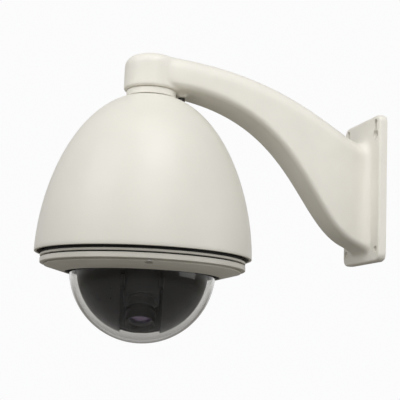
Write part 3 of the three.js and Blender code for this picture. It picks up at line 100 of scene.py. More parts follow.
# Neck
PIPE_R, PIPE_BORE_DEPTH = 0.0241, 0.0395
COLLAR_R, COLLAR_HEIGHT = 0.0295, 0.008
NECK_SCREW_HEAD_R, NECK_SCREW_HEAD, NECK_SCREW_R, NECK_SCREW_LENGTH = 0.0043, 0.004, 0.0025, 0.012
NECK_SCREW_BORE_R, NECK_SCREW_BORE_LOW, NECK_SCREW_BORE_HIGH = 0.0028, -0.006, 0.012
GAP = 0.0003

# Dome
SHIELD_R, SHIELD_HEIGHT, SHIELD_WALL, SHIELD_SEAT_R = 0.125, 0.192, 0.003, 0.034
BELL_RISE, BELL_ROUND = 1.8, 2.17
RIM_EDGE = 0.0008
RING_R, RING_INNER_R, RING_THICK = 0.118, 0.100, 0.0027
SEAL_R, SEAL_INNER_R, SEAL_THICK = 0.1154, 0.105, 0.001
BAND_HEIGHT, GROOVE_HEIGHT, GROOVE_CUT = 0.006, 0.0018, 0.004
TRIM_SCREW_HEAD_R, TRIM_SCREW_HEAD, TRIM_SCREW_R = 0.0042, 0.003, 0.0025
TRIM_BORE_R, TRIM_RECESS_R = 0.0028, 0.0045
BUBBLE_R, BUBBLE_WALL, BUBBLE_Z = 0.0842, 0.0025, -0.01484
BUBBLE_FLANGE_R, BUBBLE_FLANGE = 0.097, 0.003
CLAMP_INNER_R = 0.081
LINER_R, LINER_WALL, LINER_FLAT = 0.0755, 0.002, 0.0725
LINER_FLANGE_Z, LINER_INNER_R = 0.0018, 0.063
SLOT_WIDTH, SLOT_TOP, SLOT_BACK, SLOT_ROUND = 0.046, -0.0055, 0.020, 0.004

# Camera block and lens, along the lens's axis from the tilt axis
BLOCK_WIDTH, BLOCK_HEIGHT, BLOCK_BACK, BLOCK_FRONT = 0.040, 0.034, -0.0175, 0.024
BLOCK_WALL, BLOCK_CORNER = 0.002, 0.004
BARREL_R, BARREL_INNER_R, BARREL_BACK, BARREL_FRONT = 0.0146, 0.0128, 0.007, 0.050
HOOD_R, HOOD_INNER_R, HOOD_BACK, HOOD_FRONT = 0.0172, 0.0149, 0.039, 0.056
LENS_R, LENS_BACK, LENS_BULGE = 0.0125, 0.045, 0.002

# ---------------------------------------------------------------- mesh helpers

ON_AXIS = 1e-7
FILLET_STEPS = 4
FILLET_SHARE = 0.48  # the most of a side that one fillet takes


def rounded(corners, closed):
    """Points of an outline whose corners are (r, z) or (r, z, fillet)."""
    points = []
    count = len(corners)
    for i, corner in enumerate(corners):
        here = Vector(corner[:2])
        if len(corner) < 3 or (not closed and i in (0, count - 1)):
            points.append(here)
            continue
        before = Vector(corners[i - 1][:2]) - here
        after = Vector(corners[(i + 1) % count][:2]) - here
        half = before.angle(after) / 2
        back = min(corner[2] / math.tan(half), FILLET_SHARE * before.length, FILLET_SHARE * after.length)
        fillet = back * math.tan(half)
        centre = here + (before.normalized() + after.normalized()).normalized() * fillet / math.sin(half)
        first = here + before.normalized() * back - centre
        last = here + after.normalized() * back - centre
        total = first.angle(last)
        for k in range(FILLET_STEPS + 1):
            share = k / FILLET_STEPS
            swing = first * math.sin((1 - share) * total) + last * math.sin(share * total)
            points.append(centre + swing / math.sin(total))
    return points


def arc(r0, z0, radius, start, end, steps):
    """Points of a circle's arc, in degrees."""
    return [
        (
            r0 + radius * math.cos(math.radians(start + (end - start) * i / steps)),
            z0 + radius * math.sin(math.radians(start + (end - start) * i / steps)),
        )
        for i in range(steps + 1)
    ]


CREASE = 38  # degrees between faces that still shade as one smooth surface


def new_object(name, bm, crease=CREASE):
    bmesh.ops.recalc_face_normals(bm, faces=bm.faces)
    mesh = bpy.data.meshes.new(name)
    bm.to_mesh(mesh)
    bm.free()
    obj = bpy.data.objects.new(name, mesh)
    bpy.context.scene.collection.objects.link(obj)
    smooth(obj, crease)
    return obj


def smooth(obj, crease=CREASE):
    for face in obj.data.polygons:
        face.use_smooth = True
    obj.data.set_sharp_from_angle(angle=math.radians(crease))


def loft(bm, rings):
    """Joins rings of points into a skin with flat ends."""
    grid = [[bm.verts.new(p) for p in ring] for ring in rings]
    for low, high in zip(grid, grid[1:]):
        for i in range(len(low)):
            j = (i + 1) % len(low)
            bm.faces.new((low[i], low[j], high[j], high[i]))
    bm.faces.new(grid[0])
    bm.faces.new(grid[-1])


def circle(r, sides):
    """The points (x, y) of a circle, counter-clockwise."""
    return [(r * math.cos(2 * math.pi * k / sides), r * math.sin(2 * math.pi * k / sides)) for k in range(sides)]


def turned(name, corners, place=DROP, sides=144, closed=True):
    """A solid of revolution about Z. An open outline starts and ends on the axis."""
    bm = bmesh.new()
    outline = rounded(corners, closed)
    rings = []
    for r, z in outline:
        if r < ON_AXIS:
            rings.append([bm.verts.new((0, 0, z))])
        else:
            rings.append([bm.verts.new((x, y, z)) for x, y in circle(r, sides)])
    pairs = list(zip(rings, rings[1:] + rings[:1])) if closed else list(zip(rings, rings[1:]))
    for low, high in pairs:
        for k in range(sides):
            n = (k + 1) % sides
            if len(low) == 1 and len(high) > 1:
                bm.faces.new((low[0], high[k], high[n]))
            elif len(high) == 1 and len(low) > 1:
                bm.faces.new((low[k], low[n], high[0]))
            elif len(low) > 1:
                bm.faces.new((low[k], low[n], high[n], high[k]))
    bm.transform(place)
    return new_object(name, bm)


def applied(obj, crease=CREASE):
    """Turns the object's modifiers into mesh."""
    graph = bpy.context.evaluated_depsgraph_get()
    mesh = bpy.data.meshes.new_from_object(obj.evaluated_get(graph))
    obj.modifiers.clear()
    obj.data = mesh
    smooth(obj, crease)
    return obj


def cut(obj, tool, crease=CREASE):
    """Takes the tool's shape out of the object."""
    step = obj.modifiers.new("boolean", "BOOLEAN")
    step.object = tool
    step.operation = "DIFFERENCE"
    step.solver = "MANIFOLD"
    applied(obj, crease)
    bpy.data.objects.remove(tool)
    return obj


def rounded_rectangle(width, height, radius, steps=8, top_radius=None):
    """Points (x, y) of a rounded rectangle, counter-clockwise. Its top corners may be rounder."""
    points = []
    top = top_radius or radius
    for sx, sy, r, start in ((1, -1, radius, -90), (1, 1, top, 0), (-1, 1, top, 90), (-1, -1, radius, 180)):
        points += arc(sx * (width / 2 - r), sy * (height / 2 - r), r, start, start + 90, steps)
    return points


def prism(name, points, low, high, place=Matrix.Identity(4)):
    """A flat outline (x, y) drawn out along Z from low to high."""
    bm = bmesh.new()
    loft(bm, [[(x, y, z) for x, y in points] for z in (low, high)])
    bm.transform(place)
    return new_object(name, bm)


def bore(name, r, low, high, place, sides):
    """A cutting tool: a round bar along Z."""
    return turned(name, [(0, low), (r, low), (r, high), (0, high)], place, sides, False)


# Stands a shape drawn in (x, y) up in the wall's plane, with its depth towards the room.
UPRIGHT = Matrix.Rotation(math.radians(90), 4, "X")

pieces = []


def finished(obj, node, material=None):
    """Puts a piece in place of its frame node."""
    obj.name = f"{node}_smooth"
    obj.data.materials.clear()
    obj.data.materials.append(material or MATERIALS[SLOT_OF[node]])
    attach(obj, BODY_OF[node])
    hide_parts(node)
    pieces.append(node)
    return obj


# ---------------------------------------------------------------- materials


class Tree:
    """A material's nodes, with the few that every finish here is mixed from."""

    def __init__(self, name):
        self.material = bpy.data.materials.new(name)
        self.material.use_nodes = True
        self.nodes = self.material.node_tree.nodes
        self.links = self.material.node_tree.links
        self.shader = self.nodes["Principled BSDF"]
        self.place = self.nodes.new("ShaderNodeTexCoord").outputs["Object"]

    def noise(self, scale, detail=4.0, stretch=(1, 1, 1), offset=0.0):
        mapping = self.nodes.new("ShaderNodeMapping")
        mapping.inputs["Scale"].default_value = stretch
        mapping.inputs["Location"].default_value = (offset, offset, offset)
        self.links.new(self.place, mapping.inputs["Vector"])
        node = self.nodes.new("ShaderNodeTexNoise")
        node.inputs["Scale"].default_value = scale
        node.inputs["Detail"].default_value = detail
        self.links.new(mapping.outputs["Vector"], node.inputs["Vector"])
        return node.outputs["Fac"]

    def remap(self, value, low, high, to_low=0.0, to_high=1.0):
        node = self.nodes.new("ShaderNodeMapRange")
        node.inputs["From Min"].default_value = low
        node.inputs["From Max"].default_value = high
        node.inputs["To Min"].default_value = to_low
        node.inputs["To Max"].default_value = to_high
        self.links.new(value, node.inputs["Value"])
        return node.outputs["Result"]

    def times(self, a, b):
        node = self.nodes.new("ShaderNodeMath")
        node.operation = "MULTIPLY"
        self.links.new(a, node.inputs[0])
        self.links.new(b, node.inputs[1])
        return node.outputs[0]

    def mix(self, factor, a, b):
        """Mixes two colours, each a tuple or a socket."""
        node = self.nodes.new("ShaderNodeMix")
        node.data_type = "RGBA"
        self.links.new(factor, node.inputs[0])
        for socket, value in ((node.inputs[6], a), (node.inputs[7], b)):
            if isinstance(value, tuple):
                socket.default_value = (*value, 1)
            else:
                self.links.new(value, socket)
        return node.outputs[2]

    def facing_up(self):
        geometry = self.nodes.new("ShaderNodeNewGeometry")
        split = self.nodes.new("ShaderNodeSeparateXYZ")
        self.links.new(geometry.outputs["Normal"], split.inputs[0])
        return split.outputs["Z"]

    def edges(self, low, high):
        geometry = self.nodes.new("ShaderNodeNewGeometry")
        return self.remap(geometry.outputs["Pointiness"], low, high)

    def bump(self, height, distance, strength=1.0, round_edges=0.0):
        node = self.nodes.new("ShaderNodeBump")
        node.inputs["Distance"].default_value = distance
        node.inputs["Strength"].default_value = strength
        self.links.new(height, node.inputs["Height"])
        if round_edges:
            bevel = self.nodes.new("ShaderNodeBevel")
            bevel.samples = 4
            bevel.inputs["Radius"].default_value = round_edges
            self.links.new(bevel.outputs["Normal"], node.inputs["Normal"])
        self.links.new(node.outputs["Normal"], self.shader.inputs["Normal"])


DUST = (0.42, 0.38, 0.31)


def finish(
    name,
    colour,
    rough,
    metallic=0.0,
    shade=0.07,
    shade_scale=18.0,
    spread=0.08,
    grain=900.0,
    height=0.00003,
    stretch=(1, 1, 1),
    dust=0.0,
    wear=None,
    round_edges=0.0,
    **sockets,
):
    """A finish with cloudy colour, uneven gloss, a fine grain, dust on top and rubbed edges."""
    tree = Tree(name)
    darker = tuple(c * (1 - shade) for c in colour)
    lighter = tuple(min(c * (1 + shade), 1.0) for c in colour)
    colour_now = tree.mix(tree.remap(tree.noise(shade_scale, 5.0, stretch), 0.3, 0.7), darker, lighter)
    if wear:
        rubbed = tree.times(tree.edges(0.53, 0.6), tree.remap(tree.noise(140.0, 6.0), 0.42, 0.62))
        colour_now = tree.mix(rubbed, colour_now, wear)
    if dust:
        settled = tree.times(
            tree.remap(tree.facing_up(), 0.15, 1.0, 0.0, dust),
            tree.remap(tree.noise(26.0, 8.0, offset=3.0), 0.35, 0.75, 0.25, 1.0),
        )
        colour_now = tree.mix(settled, colour_now, DUST)
    tree.links.new(colour_now, tree.shader.inputs["Base Color"])
    uneven = tree.remap(tree.noise(70.0, 6.0, stretch, 7.0), 0.3, 0.7, rough - spread, rough + spread)
    tree.links.new(uneven, tree.shader.inputs["Roughness"])
    tree.bump(tree.noise(grain, 3.0, stretch, 1.0), height, 1.0, round_edges)
    tree.shader.inputs["Metallic"].default_value = metallic
    for socket, value in sockets.items():
        tree.shader.inputs[socket.replace("_", " ")].default_value = value
    return tree.material


IVORY = (0.85, 0.825, 0.755)
MATERIALS = {
    "ivory_paint": finish(
        "ivory powder coat", IVORY, 0.42, shade=0.035, grain=620.0, height=0.00006, dust=0.10,
        wear=(0.62, 0.60, 0.56), Specular_IOR_Level=0.45,
    ),
    "ivory_plastic": finish(
        "ivory moulded shell", (0.775, 0.757, 0.685), 0.40, shade=0.03, shade_scale=9.0, grain=500.0,
        height=0.000035, dust=0.09, wear=(0.86, 0.85, 0.80), Specular_IOR_Level=0.45,
    ),
    "black_rubber": finish(
        "black rubber", (0.018, 0.017, 0.016), 0.68, shade=0.35, grain=1500.0, height=0.00008, dust=0.15,
        round_edges=0.0003, Specular_IOR_Level=0.3,
    ),
    "black_plastic": finish(
        "black gloss liner", (0.0042, 0.0031, 0.0023), 0.33, shade=0.25, spread=0.06, grain=700.0,
        height=0.00002, Specular_IOR_Level=0.10,
    ),
    "dark_plastic": finish(
        "dark textured plastic", (0.030, 0.029, 0.028), 0.52, shade=0.22, grain=1800.0, height=0.0001,
        round_edges=0.0004,
    ),
    "aluminium": finish(
        "cast aluminium", (0.60, 0.61, 0.62), 0.38, 1.0, shade=0.12, grain=700.0, height=0.00012,
        round_edges=0.0003,
    ),
    "steel": finish(
        "plain steel", (0.56, 0.56, 0.56), 0.27, 1.0, shade=0.12, spread=0.1, grain=500.0, height=0.00002,
        stretch=(1, 1, 6), round_edges=0.0002,
    ),
    "zinc_steel": finish(
        "zinc plate", (0.60, 0.59, 0.54), 0.36, 1.0, shade=0.16, shade_scale=45.0, spread=0.12, grain=800.0,
        height=0.00003, round_edges=0.0003,
    ),
    "circuit_board": finish(
        "solder mask", (0.020, 0.11, 0.045), 0.36, shade=0.3, shade_scale=160.0, grain=700.0, height=0.00006,
        Specular_IOR_Level=0.5,
    ),
    "copper": finish(
        "varnished winding", (0.52, 0.20, 0.075), 0.32, 0.85, shade=0.25, grain=320.0, height=0.0002,
        stretch=(1, 1, 9),
    ),
    "white_nylon": finish(
        "white nylon", (0.74, 0.73, 0.68), 0.45, shade=0.05, grain=900.0, height=0.00003, round_edges=0.0002,
    ),
}


def lens_coating():
    """Dark glass with a thin violet and green coating that changes over the face."""
    tree = Tree("coated lens")
    tone = tree.mix(tree.remap(tree.noise(45.0, 2.0), 0.4, 0.6), (0.030, 0.012, 0.045), (0.012, 0.022, 0.030))
    tree.links.new(tone, tree.shader.inputs["Base Color"])
    tree.links.new(tree.remap(tree.noise(300.0), 0.3, 0.7, 0.02, 0.07), tree.shader.inputs["Roughness"])
    tree.bump(tree.noise(200.0), 0.00001, 0.3)
    tree.shader.inputs["IOR"].default_value = 1.6
    tree.shader.inputs["Coat Weight"].default_value = 1.0
    tree.shader.inputs["Coat Roughness"].default_value = 0.02
    tree.shader.inputs["Coat Tint"].default_value = (0.75, 0.45, 0.9, 1)
    return tree.material


def clear_acrylic():
    """Clear plastic with a faint smoky tint, a fine haze and a slight waviness."""
    tree = Tree("clear acrylic")
    tone = tree.mix(tree.remap(tree.noise(12.0, 5.0), 0.3, 0.7), (0.90, 0.895, 0.88), (0.95, 0.945, 0.93))
    tree.links.new(tone, tree.shader.inputs["Base Color"])
    tree.links.new(tree.remap(tree.noise(60.0, 7.0), 0.35, 0.75, 0.0, 0.02), tree.shader.inputs["Roughness"])
    tree.bump(tree.noise(30.0, 2.0), 0.00004, 0.25)
    tree.shader.inputs["IOR"].default_value = 1.30
    tree.shader.inputs["Specular IOR Level"].default_value = 0.18
    tree.shader.inputs["Transmission Weight"].default_value = 1.0
    return tree.material


# The rings' coat is a greyer copy of the ivory: partly a greyer paint, partly painted shade from the shield's
# overhang.
RING_COAT_AND_SHADE = finish(
    "ring powder coat greyed as painted shade", (0.70, 0.68, 0.615), 0.45, shade=0.05, grain=620.0, height=0.00006, dust=0.06,
    wear=(0.55, 0.53, 0.49), Specular_IOR_Level=0.4,
)
# Dull black given to metal parts inside the dome as painted shade.
SHADE_BLACK = finish(
    "painted shade black on metal", (0.016, 0.0155, 0.015), 0.55, shade=0.2, grain=700.0, height=0.00008, dust=0.06,
    round_edges=0.0003, Specular_IOR_Level=0.3,
)
BLACK_OXIDE = finish(
    "black oxide", (0.045, 0.043, 0.040), 0.42, 0.6, shade=0.2, grain=600.0, height=0.00003,
    round_edges=0.0002,
)
MATERIALS["lens_glass"] = lens_coating()
MATERIALS["clear_acrylic"] = clear_acrylic()

# ---------------------------------------------------------------- wall arm


def curve(head_z, foot_z, level, fall, rise):
    """Control points (y, z) of the arm's crown or belly, from the head to the plate."""
    span = FOOT_Y - DOME_Y
    return [
        Vector((DOME_Y, head_z)),
        Vector((DOME_Y + level * span, head_z)),
        Vector((FOOT_Y - fall * span, foot_z + rise * (head_z - foot_z))),
        Vector((FOOT_Y, foot_z)),
    ]


# The crown dips just before the plate, and the belly falls late and steeply.
CROWN = curve(HEAD_TOP, CROWN_FOOT_Z, 0.676, 0.0942, -0.185)
BELLY = curve(BELLY_Z, FOOT_BOTTOM, 0.746, 0.307, 0.0435)


def beside(points, t, distance):
    """The curve's point at t, moved square to the curve towards its upper side."""
    a, b, c, d = points
    here = a * (1 - t) ** 3 + b * 3 * t * (1 - t) ** 2 + c * 3 * t * t * (1 - t) + d * t**3
    slope = (b - a) * (1 - t) ** 2 + (c - b) * 2 * t * (1 - t) + (d - c) * t * t
    slope.normalize()
    return here + Vector((-slope.y, slope.x)) * distance


def arm_ring(t, wall, flare):
    """The arm's section at t, drawn in by a wall's thickness and spread by a flare."""
    crown = beside(CROWN, t, -wall)
    belly = beside(BELLY, t, wall)
    up = (crown - belly).normalized()
    middle = (crown + belly) / 2
    half_height = (crown - belly).length / 2 + flare
    half_width = (HEAD_WIDTH + (FOOT_WIDTH - HEAD_WIDTH) * t) / 2 - wall + flare
    most = min(half_height, half_width) - GAP
    low, high = (min(r - wall + flare / 2, most) for r in (ARM_ROUND_LOW, ARM_ROUND_HIGH))
    ring = []
    for x, rise in rounded_rectangle(2 * half_width, 2 * half_height, low, CORNER_STEPS, high):
        ring.append((x, middle.x + up.x * rise, middle.y + up.y * rise))
    return ring


def flare_at(t):
    """How far the foot spreads into the plate, as a quarter circle."""
    left = (FOOT_Y - beside(CROWN, t, 0).x) / ARM_FLARE
    return 0 if left >= 1 else ARM_FLARE * (1 - math.sqrt(max(0, 1 - (1 - left) ** 2)))


def at_y(ring, y):
    """The ring moved flat onto a plane beside the wall."""
    return [(x, y, z) for x, _, z in ring]


def wall_arm():
    """The casting: plate, arm, head and lug melted together, then the channel, bores and holes."""
    bm = bmesh.new()
    steps = [1 - (1 - i / ARM_RINGS) ** 1.6 for i in range(ARM_RINGS)]
    rings = [arm_ring(t, 0, flare_at(t)) for t in steps]
    foot = arm_ring(1, 0, ARM_FLARE)
    loft(bm, [*rings, at_y(foot, FOOT_Y + PAST)])
    plate = [(0, 0), (0, PLATE_THICK - PLATE_EDGE), (PLATE_EDGE, PLATE_THICK)]
    loft(bm, [
        [(x, -depth, z) for x, z in rounded_rectangle(
            PLATE_WIDTH - 2 * inset, PLATE_HEIGHT - 2 * inset, PLATE_CORNER - inset)]
        for inset, depth in plate
    ])
    body = new_object("wall arm", bm)
    head = turned("head", [
        (0, 0),
        (HEAD_R, 0, HEAD_CHAMFER),
        (HEAD_R, HEAD_TOP - HEAD_BOTTOM - HEAD_ROUND),
        *arc(HEAD_R - HEAD_ROUND, HEAD_TOP - HEAD_BOTTOM - HEAD_ROUND, HEAD_ROUND, 5, 85, 12),
        (HEAD_R - HEAD_ROUND, HEAD_TOP - HEAD_BOTTOM),
        (0, HEAD_TOP - HEAD_BOTTOM),
    ], Matrix.Translation((0, DOME_Y, HEAD_BOTTOM)), closed=False)
    lug_y = DOME_Y + COLLAR_R + LUG_GAP + LUG_LENGTH / 2
    lug = prism("lug", rounded_rectangle(LUG_WIDTH, LUG_LENGTH, LUG_ROUND), HEAD_BOTTOM - LUG_DROP,
                BELLY_Z + ARM_WALL / 2, Matrix.Translation((0, lug_y, 0)))
    bm = bmesh.new()
    for shape in (body, head, lug):
        bm.from_mesh(shape.data)
    bpy.data.objects.remove(head)
    bpy.data.objects.remove(lug)
    bm.to_mesh(body.data)
    bm.free()
    remesh = body.modifiers.new("cast", "REMESH")
    remesh.mode = "VOXEL"
    remesh.voxel_size = VOXEL
    ease = body.modifiers.new("ease", "SMOOTH")
    ease.factor = EASE_FACTOR
    ease.iterations = EASE_STEPS
    applied(body)
    # The head flows into the arm, so its sides and top are eased far more than the plate's edges.
    blend = body.vertex_groups.new(name="blend")
    blend.add([v.index for v in body.data.vertices
               if DOME_Y < v.co.y < NECK_BLEND_Y and v.co.z > HEAD_BOTTOM + NECK_BLEND_RISE], 1.0, "REPLACE")
    flow = body.modifiers.new("flow", "SMOOTH")
    flow.vertex_group = "blend"
    flow.factor = EASE_FACTOR
    flow.iterations = FLOW_STEPS
    applied(body)
    bm = bmesh.new()
    loft(bm, [*[arm_ring(i / CHANNEL_RINGS, ARM_WALL, 0) for i in range(CHANNEL_RINGS + 1)],
              at_y(arm_ring(1, ARM_WALL, 0), 2 * PAST)])
    cut(body, new_object("channel", bm))
    centre = (FOOT_TOP + FOOT_BOTTOM) / 2
    width, height = (size - 2 * ARM_WALL + 2 * GROOVE_MARGIN for size in (FOOT_WIDTH, FOOT_TOP - FOOT_BOTTOM))
    outer = rounded_rectangle(width + 2 * GROOVE_WIDTH, height + 2 * GROOVE_WIDTH, GROOVE_OUTER_ROUND)
    inner = rounded_rectangle(width - 2 * GAP, height - 2 * GAP, GROOVE_INNER_ROUND)
    place = Matrix.Translation((0, 0, centre)) @ UPRIGHT
    groove = prism("groove", outer, -PAST, GROOVE_DEPTH, place)
    keep = prism("keep", inner, -2 * PAST, GROOVE_DEPTH + PAST, place)
    cut(body, cut(groove, keep))
    cut(body, bore("pipe bore", PIPE_R + GAP, -PAST, PIPE_BORE_DEPTH,
                   Matrix.Translation((0, DOME_Y, HEAD_BOTTOM)), 96))
    cut(body, bore("screw bore", NECK_SCREW_BORE_R, NECK_SCREW_BORE_LOW, NECK_SCREW_BORE_HIGH,
                   Matrix.Translation((0, lug_y, HEAD_BOTTOM)), 32))
    for side in (-1, 1):
        slot = [
            *arc(side * KEYHOLE_X, KEYHOLE_SLOT_Z, KEYHOLE_SLOT_R, 0, 180, 16),
            *arc(side * KEYHOLE_X, KEYHOLE_ENTRY_Z, KEYHOLE_ENTRY_R, 90 + KEYHOLE_TURN, 450 - KEYHOLE_TURN, 32),
        ]
        hole = [(side * BOLT_X + x, BOLT_Z + z) for x, z in circle(BOLT_R, 48)]
        for name, outline in (("keyhole", slot), ("bolt hole", hole)):
            cut(body, prism(name, outline, -PAST, PLATE_THICK + PAST, UPRIGHT))
    return body


finished(wall_arm(), "wall_arm")

# ---------------------------------------------------------------- neck


def cap_screw(name, head_r, head_height, shank_r, length, place):
    """A socket head screw: the head's top is at z = 0 and the shank goes down."""
    screw = turned(name, [
        (0, -head_height - length),
        (shank_r, -head_height - length, 0.0004),
        (shank_r, -head_height),
        (head_r, -head_height, 0.0002),
        (head_r, 0, 0.0006),
        (0, 0),
    ], Matrix.Identity(4), 48, False)
    socket = prism("socket", circle(0.52 * head_r, 6), -0.6 * head_height, PAST)
    cut(screw, socket)
    screw.data.transform(place)
    return screw


HEAD_DOWN = Matrix.Rotation(math.pi, 4, "X")
neck_low, neck_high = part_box("neck_lock_screw")
neck_place = Matrix.Translation(((neck_low.x + neck_high.x) / 2, (neck_low.y + neck_high.y) / 2, neck_low.z))
finished(cap_screw("neck lock screw", NECK_SCREW_HEAD_R, NECK_SCREW_HEAD, NECK_SCREW_R, NECK_SCREW_LENGTH,
                   neck_place @ HEAD_DOWN), "neck_lock_screw", BLACK_OXIDE)

collar_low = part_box("lock_collar")[0].z
gasket_low, gasket_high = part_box("neck_gasket")
finished(turned("lock collar", [
    (PIPE_R + GAP, 0, 0.0005),
    (COLLAR_R, 0, 0.0006),
    (COLLAR_R, COLLAR_HEIGHT, 0.0014),
    (PIPE_R + GAP, COLLAR_HEIGHT, 0.0004),
], Matrix.Translation((0, DOME_Y, collar_low))), "lock_collar")
gasket_thick = gasket_high.z - gasket_low.z
finished(turned("neck gasket", [
    (PIPE_R + GAP, 0, 0.0002),
    (gasket_high.x, 0, 0.0006),
    (gasket_high.x, gasket_thick, 0.0006),
    (PIPE_R + GAP, gasket_thick, 0.0002),
], Matrix.Translation((0, DOME_Y, gasket_low.z))), "neck_gasket")

# ---------------------------------------------------------------- sunshield


def bell(radius, height, low, high, steps):
    """Points up the shield's curve, a superellipse, closer together towards the top."""
    first, last = math.asin(low / height), math.asin(high / height)
    points = []
    for i in range(steps + 1):
        z = height * math.sin(first + (last - first) * i / steps)
        points.append((radius * (1 - (z / height) ** BELL_RISE) ** (1 / BELL_ROUND), z))
    return points


SEAT_Z = SHIELD_HEIGHT * (1 - (SHIELD_SEAT_R / SHIELD_R) ** BELL_ROUND) ** (1 / BELL_RISE)
finished(turned("sunshield", [
    (SHIELD_R - SHIELD_WALL, 0, 0.0004),
    (SHIELD_R - RIM_EDGE, 0),
    (SHIELD_R - 0.3 * RIM_EDGE, 0.3 * RIM_EDGE),
    *bell(SHIELD_R, SHIELD_HEIGHT, RIM_EDGE, SEAT_Z, 64),
    (PIPE_R + GAP, SEAT_Z, 0.0005),
    (PIPE_R + GAP, SEAT_Z - SHIELD_WALL),
    *reversed(bell(SHIELD_R - SHIELD_WALL, SHIELD_HEIGHT - SHIELD_WALL, RIM_EDGE, SEAT_Z - SHIELD_WALL, 48)),
], sides=192), "sunshield")

# ---------------------------------------------------------------- rings under the housing

RING_TOP = -0.0026
SEAL_TOP = RING_TOP - RING_THICK - GAP
TRIM_TOP = SEAL_TOP - SEAL_THICK - GAP
GROOVE_TOP = TRIM_TOP - BAND_HEIGHT
SLOPE_TOP = GROOVE_TOP - GROOVE_HEIGHT
SLOPE_R = RING_R - 0.0032
LIP_R, LIP_Z, LIP_HEIGHT = 0.0889, SLOPE_TOP - 0.0069, 0.004
POCKET_R = 0.0985
SHELF_Z = SLOPE_TOP - (SLOPE_TOP - LIP_Z) / (SLOPE_R - LIP_R) * (SLOPE_R - POCKET_R) + 0.0016
SCREW_CIRCLE = 0.107
SCREW_SEAT = SLOPE_TOP + 0.0025
SCREW_ANGLES = [math.radians(-10 + 120 * i) for i in range(3)]
BORE_LOW, BORE_HIGH = -0.03, 0.01


def screw_place(angle, z):
    return DROP @ Matrix.Translation((SCREW_CIRCLE * math.cos(angle), SCREW_CIRCLE * math.sin(angle), z))


def bored(ring, r=TRIM_BORE_R, high=BORE_HIGH):
    """Drills the three screw holes through a ring, or recesses up to a height."""
    for angle in SCREW_ANGLES:
        cut(ring, bore("hole", r, BORE_LOW, high, screw_place(angle, 0), 40), crease=30)
    return ring


finished(bored(turned("mounting ring", [
    (RING_INNER_R, RING_TOP - RING_THICK, 0.0004),
    (RING_R, RING_TOP - RING_THICK, 0.0007),
    (RING_R, RING_TOP, 0.0007),
    (RING_INNER_R, RING_TOP, 0.0004),
], sides=192)), "mounting_ring", RING_COAT_AND_SHADE)
finished(bored(turned("ring seal", [
    (SEAL_INNER_R, SEAL_TOP - SEAL_THICK),
    (SEAL_R, SEAL_TOP - SEAL_THICK, 0.0004),
    (SEAL_R, SEAL_TOP, 0.0004),
    (SEAL_INNER_R, SEAL_TOP),
], sides=192)), "ring_seal")
trim = turned("trim ring", [
    (LIP_R, LIP_Z, 0.0003),
    (LIP_R + 0.0012, LIP_Z, 0.0005),
    (SLOPE_R, SLOPE_TOP, 0.0009),
    (SLOPE_R - GROOVE_CUT, SLOPE_TOP + 0.0002),
    (SLOPE_R - GROOVE_CUT, GROOVE_TOP),
    (RING_R, GROOVE_TOP, 0.0010),
    (RING_R, TRIM_TOP, 0.0010),
    (POCKET_R, TRIM_TOP, 0.0003),
    (POCKET_R, SHELF_Z),
    (LIP_R, SHELF_Z),
], sides=192)
bored(bored(trim, TRIM_RECESS_R, SCREW_SEAT))
finished(trim, "trim_ring", RING_COAT_AND_SHADE)
for i, angle in enumerate(SCREW_ANGLES):
    node = f"trim_screw_{i + 1}"
    low, high = (corner.z - RIM_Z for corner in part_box(node))
    finished(cap_screw(node, TRIM_SCREW_HEAD_R, TRIM_SCREW_HEAD, TRIM_SCREW_R, high - low - TRIM_SCREW_HEAD,
                       screw_place(angle, low) @ HEAD_DOWN), node)

# ---------------------------------------------------------------- bubble, its gasket and its clamp

lip_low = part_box("bubble_gasket")[0].z - RIM_Z
shelf = lip_low + LIP_HEIGHT
finished(turned("bubble gasket", [
    (BUBBLE_R + GAP, lip_low, 0.0006),
    (LIP_R - GAP, lip_low, 0.0015),
    (LIP_R - GAP, shelf),
    (BUBBLE_FLANGE_R, shelf),
    (BUBBLE_FLANGE_R, shelf + 0.002, 0.0005),
    (BUBBLE_R + GAP, shelf + 0.002, 0.0005),
]), "bubble_gasket")
inner_r = BUBBLE_R - BUBBLE_WALL
finished(turned("dome bubble", [
    *[(r, BUBBLE_Z + z) for r, z in arc(0, 0, BUBBLE_R, -90, 0, 48)],
    (BUBBLE_FLANGE_R, BUBBLE_Z, 0.0004),
    (BUBBLE_FLANGE_R, BUBBLE_Z + BUBBLE_FLANGE, 0.0004),
    (inner_r, BUBBLE_Z + BUBBLE_FLANGE, 0.0004),
    *[(r, BUBBLE_Z + z) for r, z in arc(0, 0, inner_r, 0, -90, 48)],
], sides=192, closed=False), "dome_bubble")
clamp_low, clamp_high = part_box("bubble_clamp")
finished(turned("bubble clamp", [
    (CLAMP_INNER_R, clamp_low.z - RIM_Z, 0.0004),
    (BUBBLE_FLANGE_R, clamp_low.z - RIM_Z, 0.0004),
    (BUBBLE_FLANGE_R, clamp_high.z - RIM_Z, 0.0007),
    (CLAMP_INNER_R, clamp_high.z - RIM_Z, 0.0007),
]), "bubble_clamp")

# ---------------------------------------------------------------- liner


